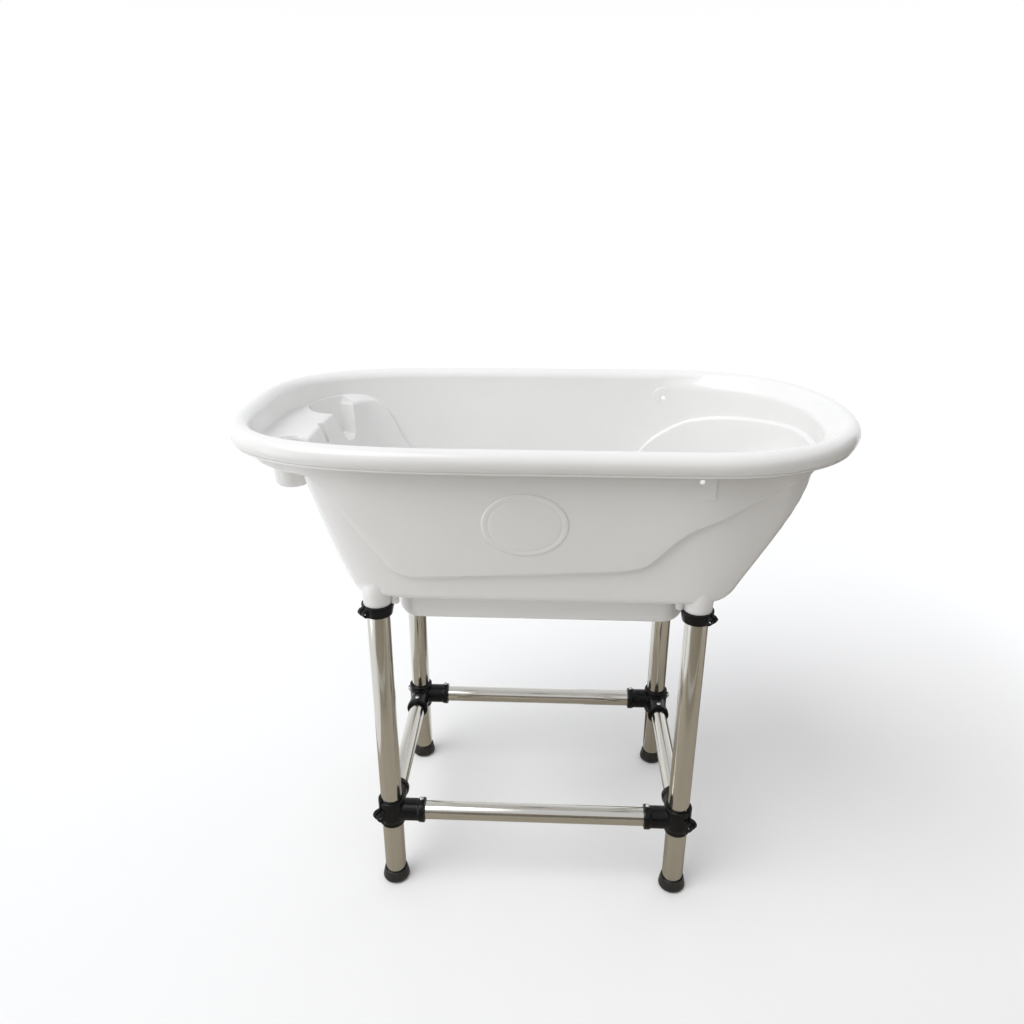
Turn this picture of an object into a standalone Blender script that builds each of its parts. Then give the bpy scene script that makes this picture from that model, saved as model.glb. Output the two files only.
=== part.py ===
"""Raised pet bathtub: a moulded tub on four tube legs, with a clamped brace frame and a sink-type drain.

Metres, +Z up. The origin is on the floor, under the middle of the tub. +X runs along the tub towards
its sloped back-rest end, and -X is the end with the bottle holders. The front faces -Y.
"""

import math

import bmesh
import bpy
import numpy as np
from mathutils import Matrix, Vector

# Driving dimensions
TUB_LENGTH = 0.940
TUB_WIDTH = 0.504
RIM_CREST_Z = 0.806
LEG_SPACING_X = 0.477
LEG_SPACING_Y = 0.336
LEG_CENTRE_X = -0.005
RAIL_Z = 0.1467
GAP = 0.0003

# Tub wall
WALL = 0.004
ROLL_RADIUS = 0.016
ROLL_CURL = -55
LIP_INSET = 0.0058
LIP_HEIGHT = 0.003
LIP_LAND = 0.005
DRAFT = 0.11
SIDE_STEP = 0.007
FLOOR_Z = 0.5600
FLOOR_FILLET = 0.011
ROLL_Z = RIM_CREST_Z - ROLL_RADIUS
WALL_INSET = 2 * ROLL_RADIUS

# Plan outlines of the tub: (left, right, half width, left cap, right cap, left power, right power)
RIM_PLAN = (-TUB_LENGTH / 2, TUB_LENGTH / 2, TUB_WIDTH / 2, 0.402, 0.260, 3.07, 2.23)
BASIN_CAPS = ((0.11, 0.13), (0.13, 0.22))
BASIN_POWERS = (3.0, 2.8)
BASIN_FLOOR_ENDS = (-0.300, 0.306)
BASIN_TOP_ENDS = (-0.362, 0.425)
BASIN_TOP_Z = 0.756
BASIN_BULGES = (0.80, 0.93)

# Neck rest: at the back-rest end the rim slopes in to a wall that stands further in
REST_FROM = (0.35, 0.95)
REST_DEPTH = 0.017
REST_ROLL = 55
SHOULDER_Z = 0.778
REST_RISE = 0.008

# Sump: the lower step of the floor, which leads to the drain
SUMP_ENDS = (-0.231, 0.233)
SUMP_HALF = 0.153
SUMP_CORNER = 0.050
SUMP_POWER = 2.4
SUMP_Z = 0.5100
SUMP_FALL = 0.003
SUMP_DRAFT = 0.003
DRAIN_X = 0.0
DRAIN_HOLE_R = 0.0242
DRAIN_SEAT_R = 0.0400

# The moulded shelf line, seen outside as the lower edge of the proud band: (x, z)
OUTER_LINE = (
    (-0.440, 0.7520), (-0.325, 0.7515), (-0.314, 0.7475), (-0.279, 0.7000), (-0.247, 0.6550),
    (-0.2205, 0.6190), (-0.206, 0.6040), (-0.184, 0.5995), (-0.057, 0.6070), (0.113, 0.6170),
    (0.150, 0.6240), (0.165, 0.6380), (0.180, 0.6580), (0.208, 0.6830), (0.2446, 0.6990),
    (0.2917, 0.7230), (0.3187, 0.7320), (0.370, 0.7380), (0.405, 0.7450), (0.440, 0.7530),
)

# The same line on the basin side, where the shelf or the step meets the upper wall: (x, z)
INNER_LINE = (
    (-0.440, 0.7570), (-0.412, 0.7600), (-0.385, 0.7660), (-0.346, 0.7690), (-0.322, 0.7660),
    (-0.303, 0.7570), (-0.284, 0.7370), (-0.272, 0.7140), (-0.262, 0.6880), (-0.240, 0.6540),
    (-0.213, 0.6230), (-0.199, 0.6090), (-0.178, 0.6045), (-0.057, 0.6120), (0.113, 0.6220),
    (0.146, 0.6280), (0.160, 0.6380), (0.181, 0.6660), (0.192, 0.6800), (0.209, 0.6930),
    (0.2335, 0.7090), (0.259, 0.7220), (0.291, 0.7300), (0.3225, 0.7355), (0.358, 0.7405),
    (0.392, 0.7465), (0.411, 0.7520), (0.440, 0.7570),
)
SHELF_Z = 0.7570

# Column planes: rays from two centres at the ends, and parallel planes between them
RAY_CENTRES_X = (-0.20, 0.10)
END_RAYS = 22
SIDE_RAYS = 10

# Bottle and brush holders in the shelf, which narrow downwards: (name, x, y, radius, floor z)
HOLDERS = (
    ("front_cup", -0.385, -0.064, 0.0275, 0.6950),
    ("brush_slot", -0.3575, 0.034, 0.0090, 0.7240),
    ("back_cup", -0.3665, 0.1340, 0.0385, 0.7010),
)
HOLDER_WALL = 0.0035
HOLDER_TAPER = 0.07
HOLDER_MOUTH_Z = 0.7740
HOLDER_ROOM = (0.650, 0.790)
HOLDER_CLEARANCE = 0.0012

# Tether holes near the back-rest end
TETHER_X = 0.2135
TETHER_Z = 0.7600
TETHER_HOLE_R = 0.0036
TETHER_PAD_R = 0.019
TETHER_PAD_PROUD = 0.0015

# Plain oval boss on the front wall
OVAL_X = -0.0215
OVAL_Z = 0.6900
OVAL_HALF = (0.061, 0.049)
OVAL_PROUD = 0.0016

# Legs: (name, side along X, side along Y, turn in degrees of its connector and collar)
LEGS = (
    ("front_left", -1, -1, 0),
    ("front_right", 1, -1, 90),
    ("back_right", 1, 1, 180),
    ("back_left", -1, 1, 270),
)

# Legs, sockets, feet and collars
LEG_R = 0.0175
LEG_BORE = 0.0163
LEG_BOTTOM_Z = 0.0053
LEG_TOP_Z = 0.5530
SOCKET_R = 0.0215
SOCKET_TOP_Z = 0.6150
SOCKET_SHOULDER_Z = 0.5415
SKIRT_R = 0.0200
SKIRT_BOTTOM_Z = 0.5235
SOCKET_BORE = LEG_R + GAP
SLIT = 0.002
GUSSET_R = 0.0065
GUSSET_REACH = 0.0265
FOOT_R = 0.0225
FOOT_TOP_R = 0.0195
FOOT_HEIGHT = 0.022
FOOT_BAND = (0.0030, 0.0065)
FOOT_CHAMFER = 0.0008
COLLAR_BOTTOM_Z = 0.5228
COLLAR_TOP_Z = 0.5412
COLLAR_R = (0.0218, 0.0245)
COLLAR_BAND = 0.005
COLLAR_BORE = SKIRT_R + GAP
EAR_GAP = 0.003
EAR_TURN = 225

# Clamp ears: (inner end, outer end, half width, half height), and how far out their screws sit
COLLAR_EAR = (0.0212, 0.0308, 0.0080, 0.0065)
COLLAR_SCREW_REACH = 0.0272
CONNECTOR_EAR = (0.0195, 0.0335, 0.0085, 0.0080)
CONNECTOR_SCREW_REACH = 0.0285

# Brace frame
RAIL_R = 0.0150
RAIL_BORE = 0.0138
CONNECTOR_R = 0.0222
CONNECTOR_HALF = 0.0246
CONNECTOR_BORE = LEG_R + GAP
STUB_R = 0.0183
STUB_BORE = RAIL_R + GAP
STUB_LENGTH = 0.056
STUB_LIP_R = 0.0203
STUB_LIP = 0.009
STUB_FLOOR = 0.0216
BOSS_R = 0.0052
BOSS_TOP = 0.0226
SET_SCREW_AT = 0.0505

# Screws
SHANK_R = 0.0017
SHANK_HOLE_R = 0.0021
HEAD_R = 0.0037
HEAD_HEIGHT = 0.0024

# Drain
DRAIN_FLOOR_Z = SUMP_Z - SUMP_FALL
FLANGE_R = 0.036
FLANGE_TOP_Z = DRAIN_FLOOR_Z + 0.0030
FLANGE_BEVEL = 0.002
FLANGE_BODY_R = 0.0235
FLANGE_BOTTOM_Z = 0.4700
FLANGE_OUTLET_R = 0.0190
THROAT_R = 0.0205
LEDGE_Z = 0.4960
LEDGE_R = 0.0160
LEDGE_THICK = 0.0025
NUT_BORE = FLANGE_BODY_R + GAP
GASKET_R = 0.0340
GASKET_TOP_Z = DRAIN_FLOOR_Z - WALL - GAP
GASKET_BOTTOM_Z = GASKET_TOP_Z - 0.003
NUT_R = 0.0320
NUT_TOP_Z = GASKET_BOTTOM_Z - GAP
NUT_BOTTOM_Z = NUT_TOP_Z - 0.008
NUT_LUGS = 6
NUT_LUG = (0.0305, 0.0365, 0.0030)
SPIGOT_CUP_R = 0.0275
SPIGOT_TOP_Z = 0.4840
SPIGOT_SEAT_Z = FLANGE_BOTTOM_Z - 0.0035
SPIGOT_BOTTOM_Z = 0.4360
SPIGOT_R = 0.0120
SPIGOT_BORE = 0.0100
BARB_R = 0.0145
BARB_PITCH = 0.0085
STRAINER_R = THROAT_R - 0.0005
STRAINER_THICK = 0.0015
STRAINER_HEIGHT = 0.0035
STRAINER_HOLES = 8
STRAINER_HOLE_R = 0.0028
STRAINER_CIRCLE_R = 0.0115
PLUG_BOTTOM_Z = LEDGE_Z + 0.0060
PLUG_TAPER_R = (0.0190, 0.0201)
PLUG_LIP_R = 0.0260
PLUG_LIP_THICK = 0.0028
KNOB_R = 0.0072
KNOB_HEIGHT = 0.0125
KNOB_NECK_R = 0.0042

ROUND = 20
CUTTERS_NAME = "cutters"
OBJECT_NAME = "pet_bathtub"


# ---------------------------------------------------------------- scene helpers

def clear_scene():
    for obj in list(bpy.data.objects):
        bpy.data.objects.remove(obj)


def make_collection(name):
    collection = bpy.data.collections.new(name)
    bpy.context.scene.collection.children.link(collection)
    return collection


def make_material(name, color, roughness, metallic=0.0):
    material = bpy.data.materials.new(name)
    material.use_nodes = True
    shader = material.node_tree.nodes["Principled BSDF"]
    shader.inputs["Base Color"].default_value = (*color, 1.0)
    shader.inputs["Roughness"].default_value = roughness
    shader.inputs["Metallic"].default_value = metallic
    material.diffuse_color = (*color, 1.0)
    return material


def add_object(name, mesh, material=None, cutter=False):
    """Links a mesh as a part of the bathtub, or as a hidden cutter."""
    obj = bpy.data.objects.new(name, mesh)
    if cutter:
        cutters.objects.link(obj)
        obj.hide_render = True
        obj.display_type = "WIRE"
    else:
        parts.objects.link(obj)
    if material is not None:
        mesh.materials.clear()
        mesh.materials.append(material)
    return obj


def shade(mesh, angle=35):
    mesh.shade_smooth()
    mesh.set_sharp_from_angle(angle=math.radians(angle))


def mesh_from_bmesh(name, bm):
    bmesh.ops.recalc_face_normals(bm, faces=bm.faces)
    mesh = bpy.data.meshes.new(name)
    bm.to_mesh(mesh)
    bm.free()
    return mesh


# ---------------------------------------------------------------- primitive shapes

def turned(name, profile, material=None, cutter=False, closed=False, steps=ROUND):
    """A profile of (radius, z) points, outer side first from top to bottom, swept about Z by a Screw."""
    mesh = bpy.data.meshes.new(name)
    points = [(radius, 0.0, z) for radius, z in profile]
    edges = [(i, i + 1) for i in range(len(points) - 1)]
    if closed:
        edges.append((len(points) - 1, 0))
    mesh.from_pydata(points, edges, [])
    obj = add_object(name, mesh, material, cutter)
    screw = obj.modifiers.new("Turn", "SCREW")
    screw.steps = steps
    screw.render_steps = steps
    screw.use_merge_vertices = True
    screw.merge_threshold = 0.00005
    screw.use_smooth_shade = False
    return obj


def rod(name, radius, low, high, **options):
    """A solid round bar along Z."""
    return turned(name, [(0, high), (radius, high), (radius, low), (0, low)], **options)


def ring(name, outer, inner, low, high, **options):
    """A tube along Z."""
    profile = [(outer, high), (outer, low), (inner, low), (inner, high)]
    return turned(name, profile, closed=True, **options)


def box(name, low, high, material=None, cutter=False):
    bm = bmesh.new()
    bmesh.ops.create_cube(bm, size=1.0)
    size = Vector(high) - Vector(low)
    centre = (Vector(high) + Vector(low)) / 2
    bmesh.ops.transform(bm, matrix=Matrix.Translation(centre) @ Matrix.Diagonal((*size, 1)), verts=bm.verts)
    return add_object(name, mesh_from_bmesh(name, bm), material, cutter)


def turn_to(obj, axis, location=(0, 0, 0)):
    """Points an object's local Z along an axis, with its origin at a location."""
    obj.rotation_euler = Vector((0, 0, 1)).rotation_difference(Vector(axis)).to_euler()
    obj.location = location
    return obj


def combine(obj, others, operation):
    for other in others:
        modifier = obj.modifiers.new(operation.title(), "BOOLEAN")
        modifier.operation = operation
        modifier.solver = "MANIFOLD"
        modifier.object = other


def baked(obj, name):
    """The evaluated mesh of an object in world space, with the object itself removed."""
    bpy.context.view_layer.update()
    evaluated = obj.evaluated_get(bpy.context.evaluated_depsgraph_get())
    mesh = bpy.data.meshes.new_from_object(evaluated)
    mesh.transform(obj.matrix_world)
    mesh.name = name
    bpy.data.objects.remove(obj)
    bm = bmesh.new()
    bm.from_mesh(mesh)
    bmesh.ops.remove_doubles(bm, verts=bm.verts, dist=0.000002)
    bm.to_mesh(mesh)
    bm.free()
    return mesh


def drop(objects):
    for obj in objects:
        bpy.data.objects.remove(obj)


# ---------------------------------------------------------------- plan outlines

def plan_level(plan, point):
    """Below 1 inside a plan outline, 1 on it. The outline is two superellipse caps joined by straights."""
    left, right, half, left_cap, right_cap, left_power, right_power = plan
    x, y = point
    if x < left + left_cap:
        return ((left + left_cap - x) / left_cap) ** left_power + (abs(y) / half) ** left_power
    if x > right - right_cap:
        return ((x - right + right_cap) / right_cap) ** right_power + (abs(y) / half) ** right_power
    return abs(y) / half


def columns():
    """Vertical planes round the tub, anticlockwise from the front left.

    Each is (start x, direction x, direction y).
    """
    left, right = RAY_CENTRES_X
    planes = [(left + (right - left) * i / SIDE_RAYS, 0.0, -1.0) for i in range(SIDE_RAYS)]
    for i in range(END_RAYS):
        angle = math.pi * (i / END_RAYS - 0.5)
        planes.append((right, math.cos(angle), math.sin(angle)))
    planes += [(right + (left - right) * i / SIDE_RAYS, 0.0, 1.0) for i in range(SIDE_RAYS)]
    for i in range(END_RAYS):
        angle = math.pi * (i / END_RAYS + 0.5)
        planes.append((left, math.cos(angle), math.sin(angle)))
    return planes


def reach(plan, column):
    """How far a column plane runs before it meets a plan outline."""
    start, dx, dy = column
    low, high = 0.0, 1.0
    for _ in range(40):
        middle = (low + high) / 2
        if plan_level(plan, (start + dx * middle, dy * middle)) < 1:
            low = middle
        else:
            high = middle
    return low


def facing(plan, column, distance):
    """Cosine between a column's direction and the outline's normal where they meet."""
    start, dx, dy = column
    x, y = start + dx * distance, dy * distance
    step = 0.0005
    gx = plan_level(plan, (x + step, y)) - plan_level(plan, (x - step, y))
    gy = plan_level(plan, (x, y + step)) - plan_level(plan, (x, y - step))
    return (gx * dx + gy * dy) / math.hypot(gx, gy)


def blend(low, high, share):
    return low + (high - low) * share


def basin_plan(z, inset):
    """Plan of the lower basin at a height, moved in by an inset."""
    share = (z - FLOOR_Z) / (BASIN_TOP_Z - FLOOR_Z)
    above = max(share, 0.0)
    left = blend(BASIN_FLOOR_ENDS[0], BASIN_TOP_ENDS[0], above ** BASIN_BULGES[0]) + inset
    right = blend(BASIN_FLOOR_ENDS[1], BASIN_TOP_ENDS[1], above ** BASIN_BULGES[1]) - inset
    half = TUB_WIDTH / 2 - WALL_INSET - DRAFT * (ROLL_Z - z) - SIDE_STEP - inset
    left_cap = blend(BASIN_CAPS[0][0], BASIN_CAPS[1][0], share) - inset
    right_cap = blend(BASIN_CAPS[0][1], BASIN_CAPS[1][1], share) - inset
    return (left, right, half, left_cap, right_cap, *BASIN_POWERS)


def sump_plan(inset):
    left, right = SUMP_ENDS
    corner = SUMP_CORNER - inset
    return (left + inset, right - inset, SUMP_HALF - inset, corner, corner, SUMP_POWER, SUMP_POWER)


def line_height(line, x):
    """Height of a shelf line at a place along the tub."""
    xs, zs = zip(*line)
    return float(np.interp(x, xs, zs))


# ---------------------------------------------------------------- tub shell

class Column:
    """One vertical plane of the tub, which gives points of the wall sections on it."""

    def __init__(self, column):
        self.column = column
        self.rim_reach = reach(RIM_PLAN, column)
        self.rim_facing = facing(RIM_PLAN, column, self.rim_reach)
        start, full = REST_FROM
        share = min(max((column[1] - start) / (full - start), 0), 1)
        self.rest = share * share * (3 - 2 * share)
        self.shoulder_z = SHOULDER_Z + REST_RISE * self.rest
        place = column[0] + column[1] * self.upper(ROLL_Z - 0.07, WALL_INSET)
        self.outer_line = line_height(OUTER_LINE, place)
        self.inner_line = line_height(INNER_LINE, place)

    def at(self, distance, z):
        start, dx, dy = self.column
        return (start + dx * distance, dy * distance, z)

    def rim(self, inset, z):
        return self.at(self.rim_reach - inset / self.rim_facing, z)

    def upper(self, z, inset):
        """Distance to the upper wall, which follows the rim with some draft."""
        inward = inset + REST_DEPTH * self.rest + DRAFT * (ROLL_Z - z)
        return self.rim_reach - inward / self.rim_facing

    def basin(self, z, inset, shelf_inset):
        """Distance to the lower basin wall, kept inside the upper wall by the side step."""
        wall = reach(basin_plan(z, inset), self.column)
        return min(wall, self.upper(z, shelf_inset + SIDE_STEP))

    def drain(self, radius, z, edge):
        """Point of a ring about the drain, in the direction of an edge point."""
        toward = Vector((edge[0] - DRAIN_X, edge[1]))
        toward.normalize()
        return (DRAIN_X + toward.x * radius, toward.y * radius, z)


def arc_points(column, radius, angles):
    """Points of the rolled rim's section, by angle from its outer side.

    Over the neck rest the inner side of the roll ends early, where the slope takes over.
    """
    points = []
    for angle in angles:
        turn = math.radians(angle - REST_ROLL * column.rest * max(angle - 90, 0) / 90)
        points.append(column.rim(ROLL_RADIUS - radius * math.cos(turn), ROLL_Z + radius * math.sin(turn)))
    return points


def skin(column, inset, drop_z, line, roll_radius, angles):
    """One side of the wall, from the drain up to the rim.

    An inset and drop_z of 0 give the basin side, and of the wall's thickness the outer side.
    The shelf stays level at its basin edge and may rise towards the wall.
    """
    floor = FLOOR_Z - drop_z
    sump = SUMP_Z - drop_z
    fillet = FLOOR_FILLET
    shelf_inset = WALL_INSET - inset
    sump_top = reach(sump_plan(-inset), column.column)
    sump_edge = column.at(reach(sump_plan(fillet + SUMP_DRAFT - inset), column.column), sump)
    knee = floor + fillet
    floor_edge = reach(basin_plan(floor, fillet - inset), column.column)
    edge = min(line, SHELF_Z - drop_z)
    middle = (knee + edge) / 2
    shoulder = column.shoulder_z - drop_z / 2
    points = [
        column.drain(DRAIN_HOLE_R, sump - SUMP_FALL, sump_edge),
        column.drain(DRAIN_SEAT_R, sump - SUMP_FALL, sump_edge),
        sump_edge,
        column.at(reach(sump_plan(SUMP_DRAFT - inset), column.column), sump + fillet),
        column.at(sump_top, floor),
        column.at(floor_edge, floor),
        column.at(column.basin(knee, -inset, shelf_inset), knee),
        column.at(column.basin(middle, -inset, shelf_inset), middle),
        column.at(column.basin(edge, -inset, shelf_inset), edge),
        column.at(column.upper(line, shelf_inset), line),
        column.at(column.upper(shoulder, shelf_inset), shoulder),
    ]
    return points + arc_points(column, roll_radius, angles)


def shell_profile(plane):
    """Closed section of the tub wall on one column plane."""
    column = Column(plane)
    inside = skin(column, 0.0, 0.0, column.inner_line, ROLL_RADIUS, (180, 135, 90, 45, 0, -30, ROLL_CURL))
    outside = skin(column, WALL, WALL, column.outer_line, ROLL_RADIUS - WALL, (180, 120, 60, 0, -64))
    lip_z = ROLL_Z + ROLL_RADIUS * math.sin(math.radians(ROLL_CURL))
    lip = [
        column.rim(LIP_INSET, lip_z),
        column.rim(LIP_INSET, lip_z - LIP_HEIGHT),
        column.rim(LIP_INSET + LIP_LAND, lip_z - LIP_HEIGHT),
    ]
    return inside + lip + outside[::-1]


def basin_space_profile(plane):
    """Mid-wall surface of the basin up to above the rim, which trims what is joined outside."""
    column = Column(plane)
    middle = WALL / 2
    inside = skin(column, middle, middle, column.inner_line - middle, ROLL_RADIUS - middle, (180,))
    return inside[1:] + [column.rim(WALL_INSET - middle, RIM_CREST_Z + 0.02)]


def grid_mesh(name, profiles, wrap):
    """Faces between neighbouring profiles. Wrapped profiles close on themselves; others are capped."""
    count = len(profiles[0])
    vertices = [point for profile in profiles for point in profile]
    faces = []
    for i in range(len(profiles)):
        here, there = i * count, (i + 1) % len(profiles) * count
        for j in range(count if wrap else count - 1):
            k = (j + 1) % count
            faces.append((here + j, there + j, there + k, here + k))
    if not wrap:
        faces.append([i * count for i in range(len(profiles))])
        faces.append([i * count + count - 1 for i in range(len(profiles))])
    mesh = bpy.data.meshes.new(name)
    mesh.from_pydata(vertices, [], faces)
    bm = bmesh.new()
    bm.from_mesh(mesh)
    bmesh.ops.triangulate(bm, faces=[face for face in bm.faces if len(face.verts) > 4])
    bmesh.ops.recalc_face_normals(bm, faces=bm.faces)
    bm.to_mesh(mesh)
    bm.free()
    return mesh


def leg_places():
    for name, side_x, side_y, turn in LEGS:
        yield name, LEG_CENTRE_X + side_x * LEG_SPACING_X / 2, side_y * LEG_SPACING_Y / 2, side_x, turn


def socket_pieces():
    """Outer bodies of the leg sockets and their gussets, which the basin's space trims."""
    pieces = []
    for name, x, y, side_x, _ in leg_places():
        profile = [
            (0, SOCKET_TOP_Z), (SOCKET_R, SOCKET_TOP_Z), (SOCKET_R, SOCKET_SHOULDER_Z),
            (SKIRT_R, SOCKET_SHOULDER_Z), (SKIRT_R, SKIRT_BOTTOM_Z), (0, SKIRT_BOTTOM_Z),
        ]
        socket = turned("socket_" + name, profile, cutter=True)
        socket.location = (x, y, 0)
        gusset_top = FLOOR_Z - WALL / 2
        gusset = rod("gusset_" + name, GUSSET_R, SOCKET_SHOULDER_Z, gusset_top, cutter=True, steps=16)
        gusset.location = (x - side_x * GUSSET_REACH, y, 0)
        pieces += [socket, gusset]
    return pieces


def socket_cutters():
    """Leg bores and the slit that lets each skirt close on its leg."""
    pieces = []
    for name, x, y, side_x, turn in leg_places():
        bore = rod("bore_" + name, SOCKET_BORE, SKIRT_BOTTOM_Z - 0.01, LEG_TOP_Z + 0.001, cutter=True)
        bore.location = (x, y, 0)
        slit = box(
            "slit_" + name,
            (-SOCKET_R - 0.002, -SLIT / 2, SKIRT_BOTTOM_Z - 0.01),
            (SOCKET_R + 0.002, SLIT / 2, SOCKET_SHOULDER_Z - 0.001),
            cutter=True,
        )
        slit.location = (x, y, 0)
        slit.rotation_euler.z = math.radians(turn + 45)
        pieces += [bore, slit]
    return pieces


def holder_shape(name, place, radius, low, high):
    """A tapered bar whose radius is given at the shelf."""
    narrow = radius - HOLDER_TAPER * (SHELF_Z - low)
    wide = radius - HOLDER_TAPER * max(SHELF_Z - high, 0)
    profile = [(0, high), (wide, high), (narrow, low), (0, low)]
    shape = turned(name, profile, cutter=True, steps=28)
    shape.location = (*place, 0)
    return shape


def wall_room(name, inset):
    """The space inside the upper wall, carried down past the holders, which keeps them within it."""
    profiles = []
    for plane in columns():
        column = Column(plane)
        profiles.append([column.at(column.upper(z, inset), z) for z in HOLDER_ROOM])
    return add_object(name, grid_mesh(name, profiles, wrap=False), cutter=True)


def holder_bodies():
    bodies = []
    for name, x, y, radius, floor in HOLDERS:
        outer = radius + HOLDER_WALL
        top = SHELF_Z - WALL / 2
        bodies.append(holder_shape("body_" + name, (x, y), outer, floor - HOLDER_WALL, top))
    return bodies


def holder_hollows():
    hollows = []
    for name, x, y, radius, floor in HOLDERS:
        hollows.append(holder_shape("hollow_" + name, (x, y), radius, floor, HOLDER_MOUTH_Z))
    return hollows


def upper_wall_y(x, z, inset):
    """Distance from the centre line to the upper wall, near the straight sides."""
    column = Column((x, 0.0, 1.0))
    return column.upper(z, inset)


def tether_pads():
    """Raised round-topped pads about the tether holes, on the basin side of both long walls."""
    pads = []
    wall = upper_wall_y(TETHER_X, TETHER_Z, WALL_INSET)
    for name, side in (("front", -1), ("back", 1)):
        pad = rod("pad_" + name, TETHER_PAD_R, -TETHER_PAD_PROUD, WALL / 2, cutter=True)
        turn_to(pad, (0, side, -DRAFT), (TETHER_X, side * wall, TETHER_Z))
        pads.append(pad)
    return pads


def tether_holes():
    holes = []
    wall = upper_wall_y(TETHER_X, TETHER_Z, WALL_INSET)
    for name, side in (("front", -1), ("back", 1)):
        hole = rod("tether_hole_" + name, TETHER_HOLE_R, -0.01, 0.03, cutter=True, steps=10)
        turn_to(hole, (0, side, -DRAFT), (TETHER_X, side * wall, TETHER_Z))
        holes.append(hole)
    return holes


def oval_boss():
    """A plain oval pad on the outside of the front wall."""
    wall = upper_wall_y(OVAL_X, OVAL_Z, WALL_INSET - WALL)
    oval = rod("oval", 1.0, -WALL / 2, OVAL_PROUD, cutter=True, steps=40)
    turn_to(oval, (0, -1, -DRAFT), (OVAL_X, -wall, OVAL_Z))
    oval.scale = (OVAL_HALF[0], OVAL_HALF[1], 1)
    return oval


def build_tub(material):
    profiles = [shell_profile(plane) for plane in columns()]
    shell = add_object("shell_blank", grid_mesh("shell_blank", profiles, wrap=True))
    space_profiles = [basin_space_profile(plane) for plane in columns()]
    space = add_object("basin_space", grid_mesh("basin_space", space_profiles, wrap=False), cutter=True)
    body_room = wall_room("body_room", WALL_INSET - WALL / 2)
    hollow_room = wall_room("hollow_room", WALL_INSET + HOLDER_CLEARANCE)
    bodies = holder_bodies()
    hollows = holder_hollows()
    for body, hollow in zip(bodies, hollows):
        combine(body, [body_room], "INTERSECT")
        combine(hollow, [hollow_room], "INTERSECT")
    outside_pieces = socket_pieces() + bodies
    for piece in outside_pieces:
        combine(piece, [space], "DIFFERENCE")
    proud_pieces = tether_pads() + [oval_boss()]
    combine(shell, outside_pieces + proud_pieces, "UNION")
    hollows += socket_cutters() + tether_holes()
    combine(shell, hollows, "DIFFERENCE")
    tub = add_object("tub_shell", baked(shell, "tub_shell"), material)
    drop(outside_pieces + proud_pieces + hollows + [space, body_room, hollow_room])
    shade(tub.data, 30)


# ---------------------------------------------------------------- legs, feet, collars

def build_leg(name, x, y, material):
    leg = ring("leg_" + name, LEG_R, LEG_BORE, LEG_BOTTOM_Z, LEG_TOP_Z, material=material)
    leg.location = (x, y, 0)


def build_foot(name, x, y, material):
    profile = [
        (FOOT_TOP_R - FOOT_CHAMFER, FOOT_HEIGHT), (FOOT_TOP_R, FOOT_HEIGHT - FOOT_CHAMFER),
        (FOOT_R, FOOT_BAND[1]), (FOOT_R, FOOT_BAND[0]), (FOOT_R - FOOT_BAND[0], 0), (0, 0),
        (0, LEG_BOTTOM_Z - GAP), (LEG_R + GAP, LEG_BOTTOM_Z - GAP), (LEG_R + GAP, FOOT_HEIGHT),
    ]
    foot = turned("foot_" + name, profile, material=material, closed=True)
    foot.location = (x, y, 0)


def ear_block(name, inner, outer, half_width, low, high):
    """Clamp ears as one block along +X; a slot parts them later."""
    return box(name, (inner, -half_width, low), (outer, half_width, high), cutter=True)


def clamp_slot(name, outer, low, high):
    return box(name, (0.005, -EAR_GAP / 2, low), (outer + 0.005, EAR_GAP / 2, high), cutter=True)


def collar_mesh():
    """Split ring round the socket skirt, with two ears along +X. Its middle height is z = 0."""
    half = (COLLAR_TOP_Z - COLLAR_BOTTOM_Z) / 2
    profile = [
        (COLLAR_R[1], half), (COLLAR_R[1], half - COLLAR_BAND), (COLLAR_R[0], -half),
        (COLLAR_BORE, -half), (COLLAR_BORE, half),
    ]
    collar = turned("collar_blank", profile, closed=True)
    inner, outer, half_width, ear_half = COLLAR_EAR
    ears = ear_block("collar_ears", inner, outer, half_width, -ear_half, ear_half)
    slot = clamp_slot("collar_slot", outer, -half - 0.01, half + 0.01)
    hole = rod("collar_hole", SHANK_HOLE_R, -0.02, 0.02, cutter=True, steps=10)
    turn_to(hole, (0, 1, 0), (COLLAR_SCREW_REACH, 0, 0))
    combine(collar, [ears], "UNION")
    combine(collar, [slot, hole], "DIFFERENCE")
    mesh = baked(collar, "collar")
    drop([ears, slot, hole])
    shade(mesh)
    return mesh


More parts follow.
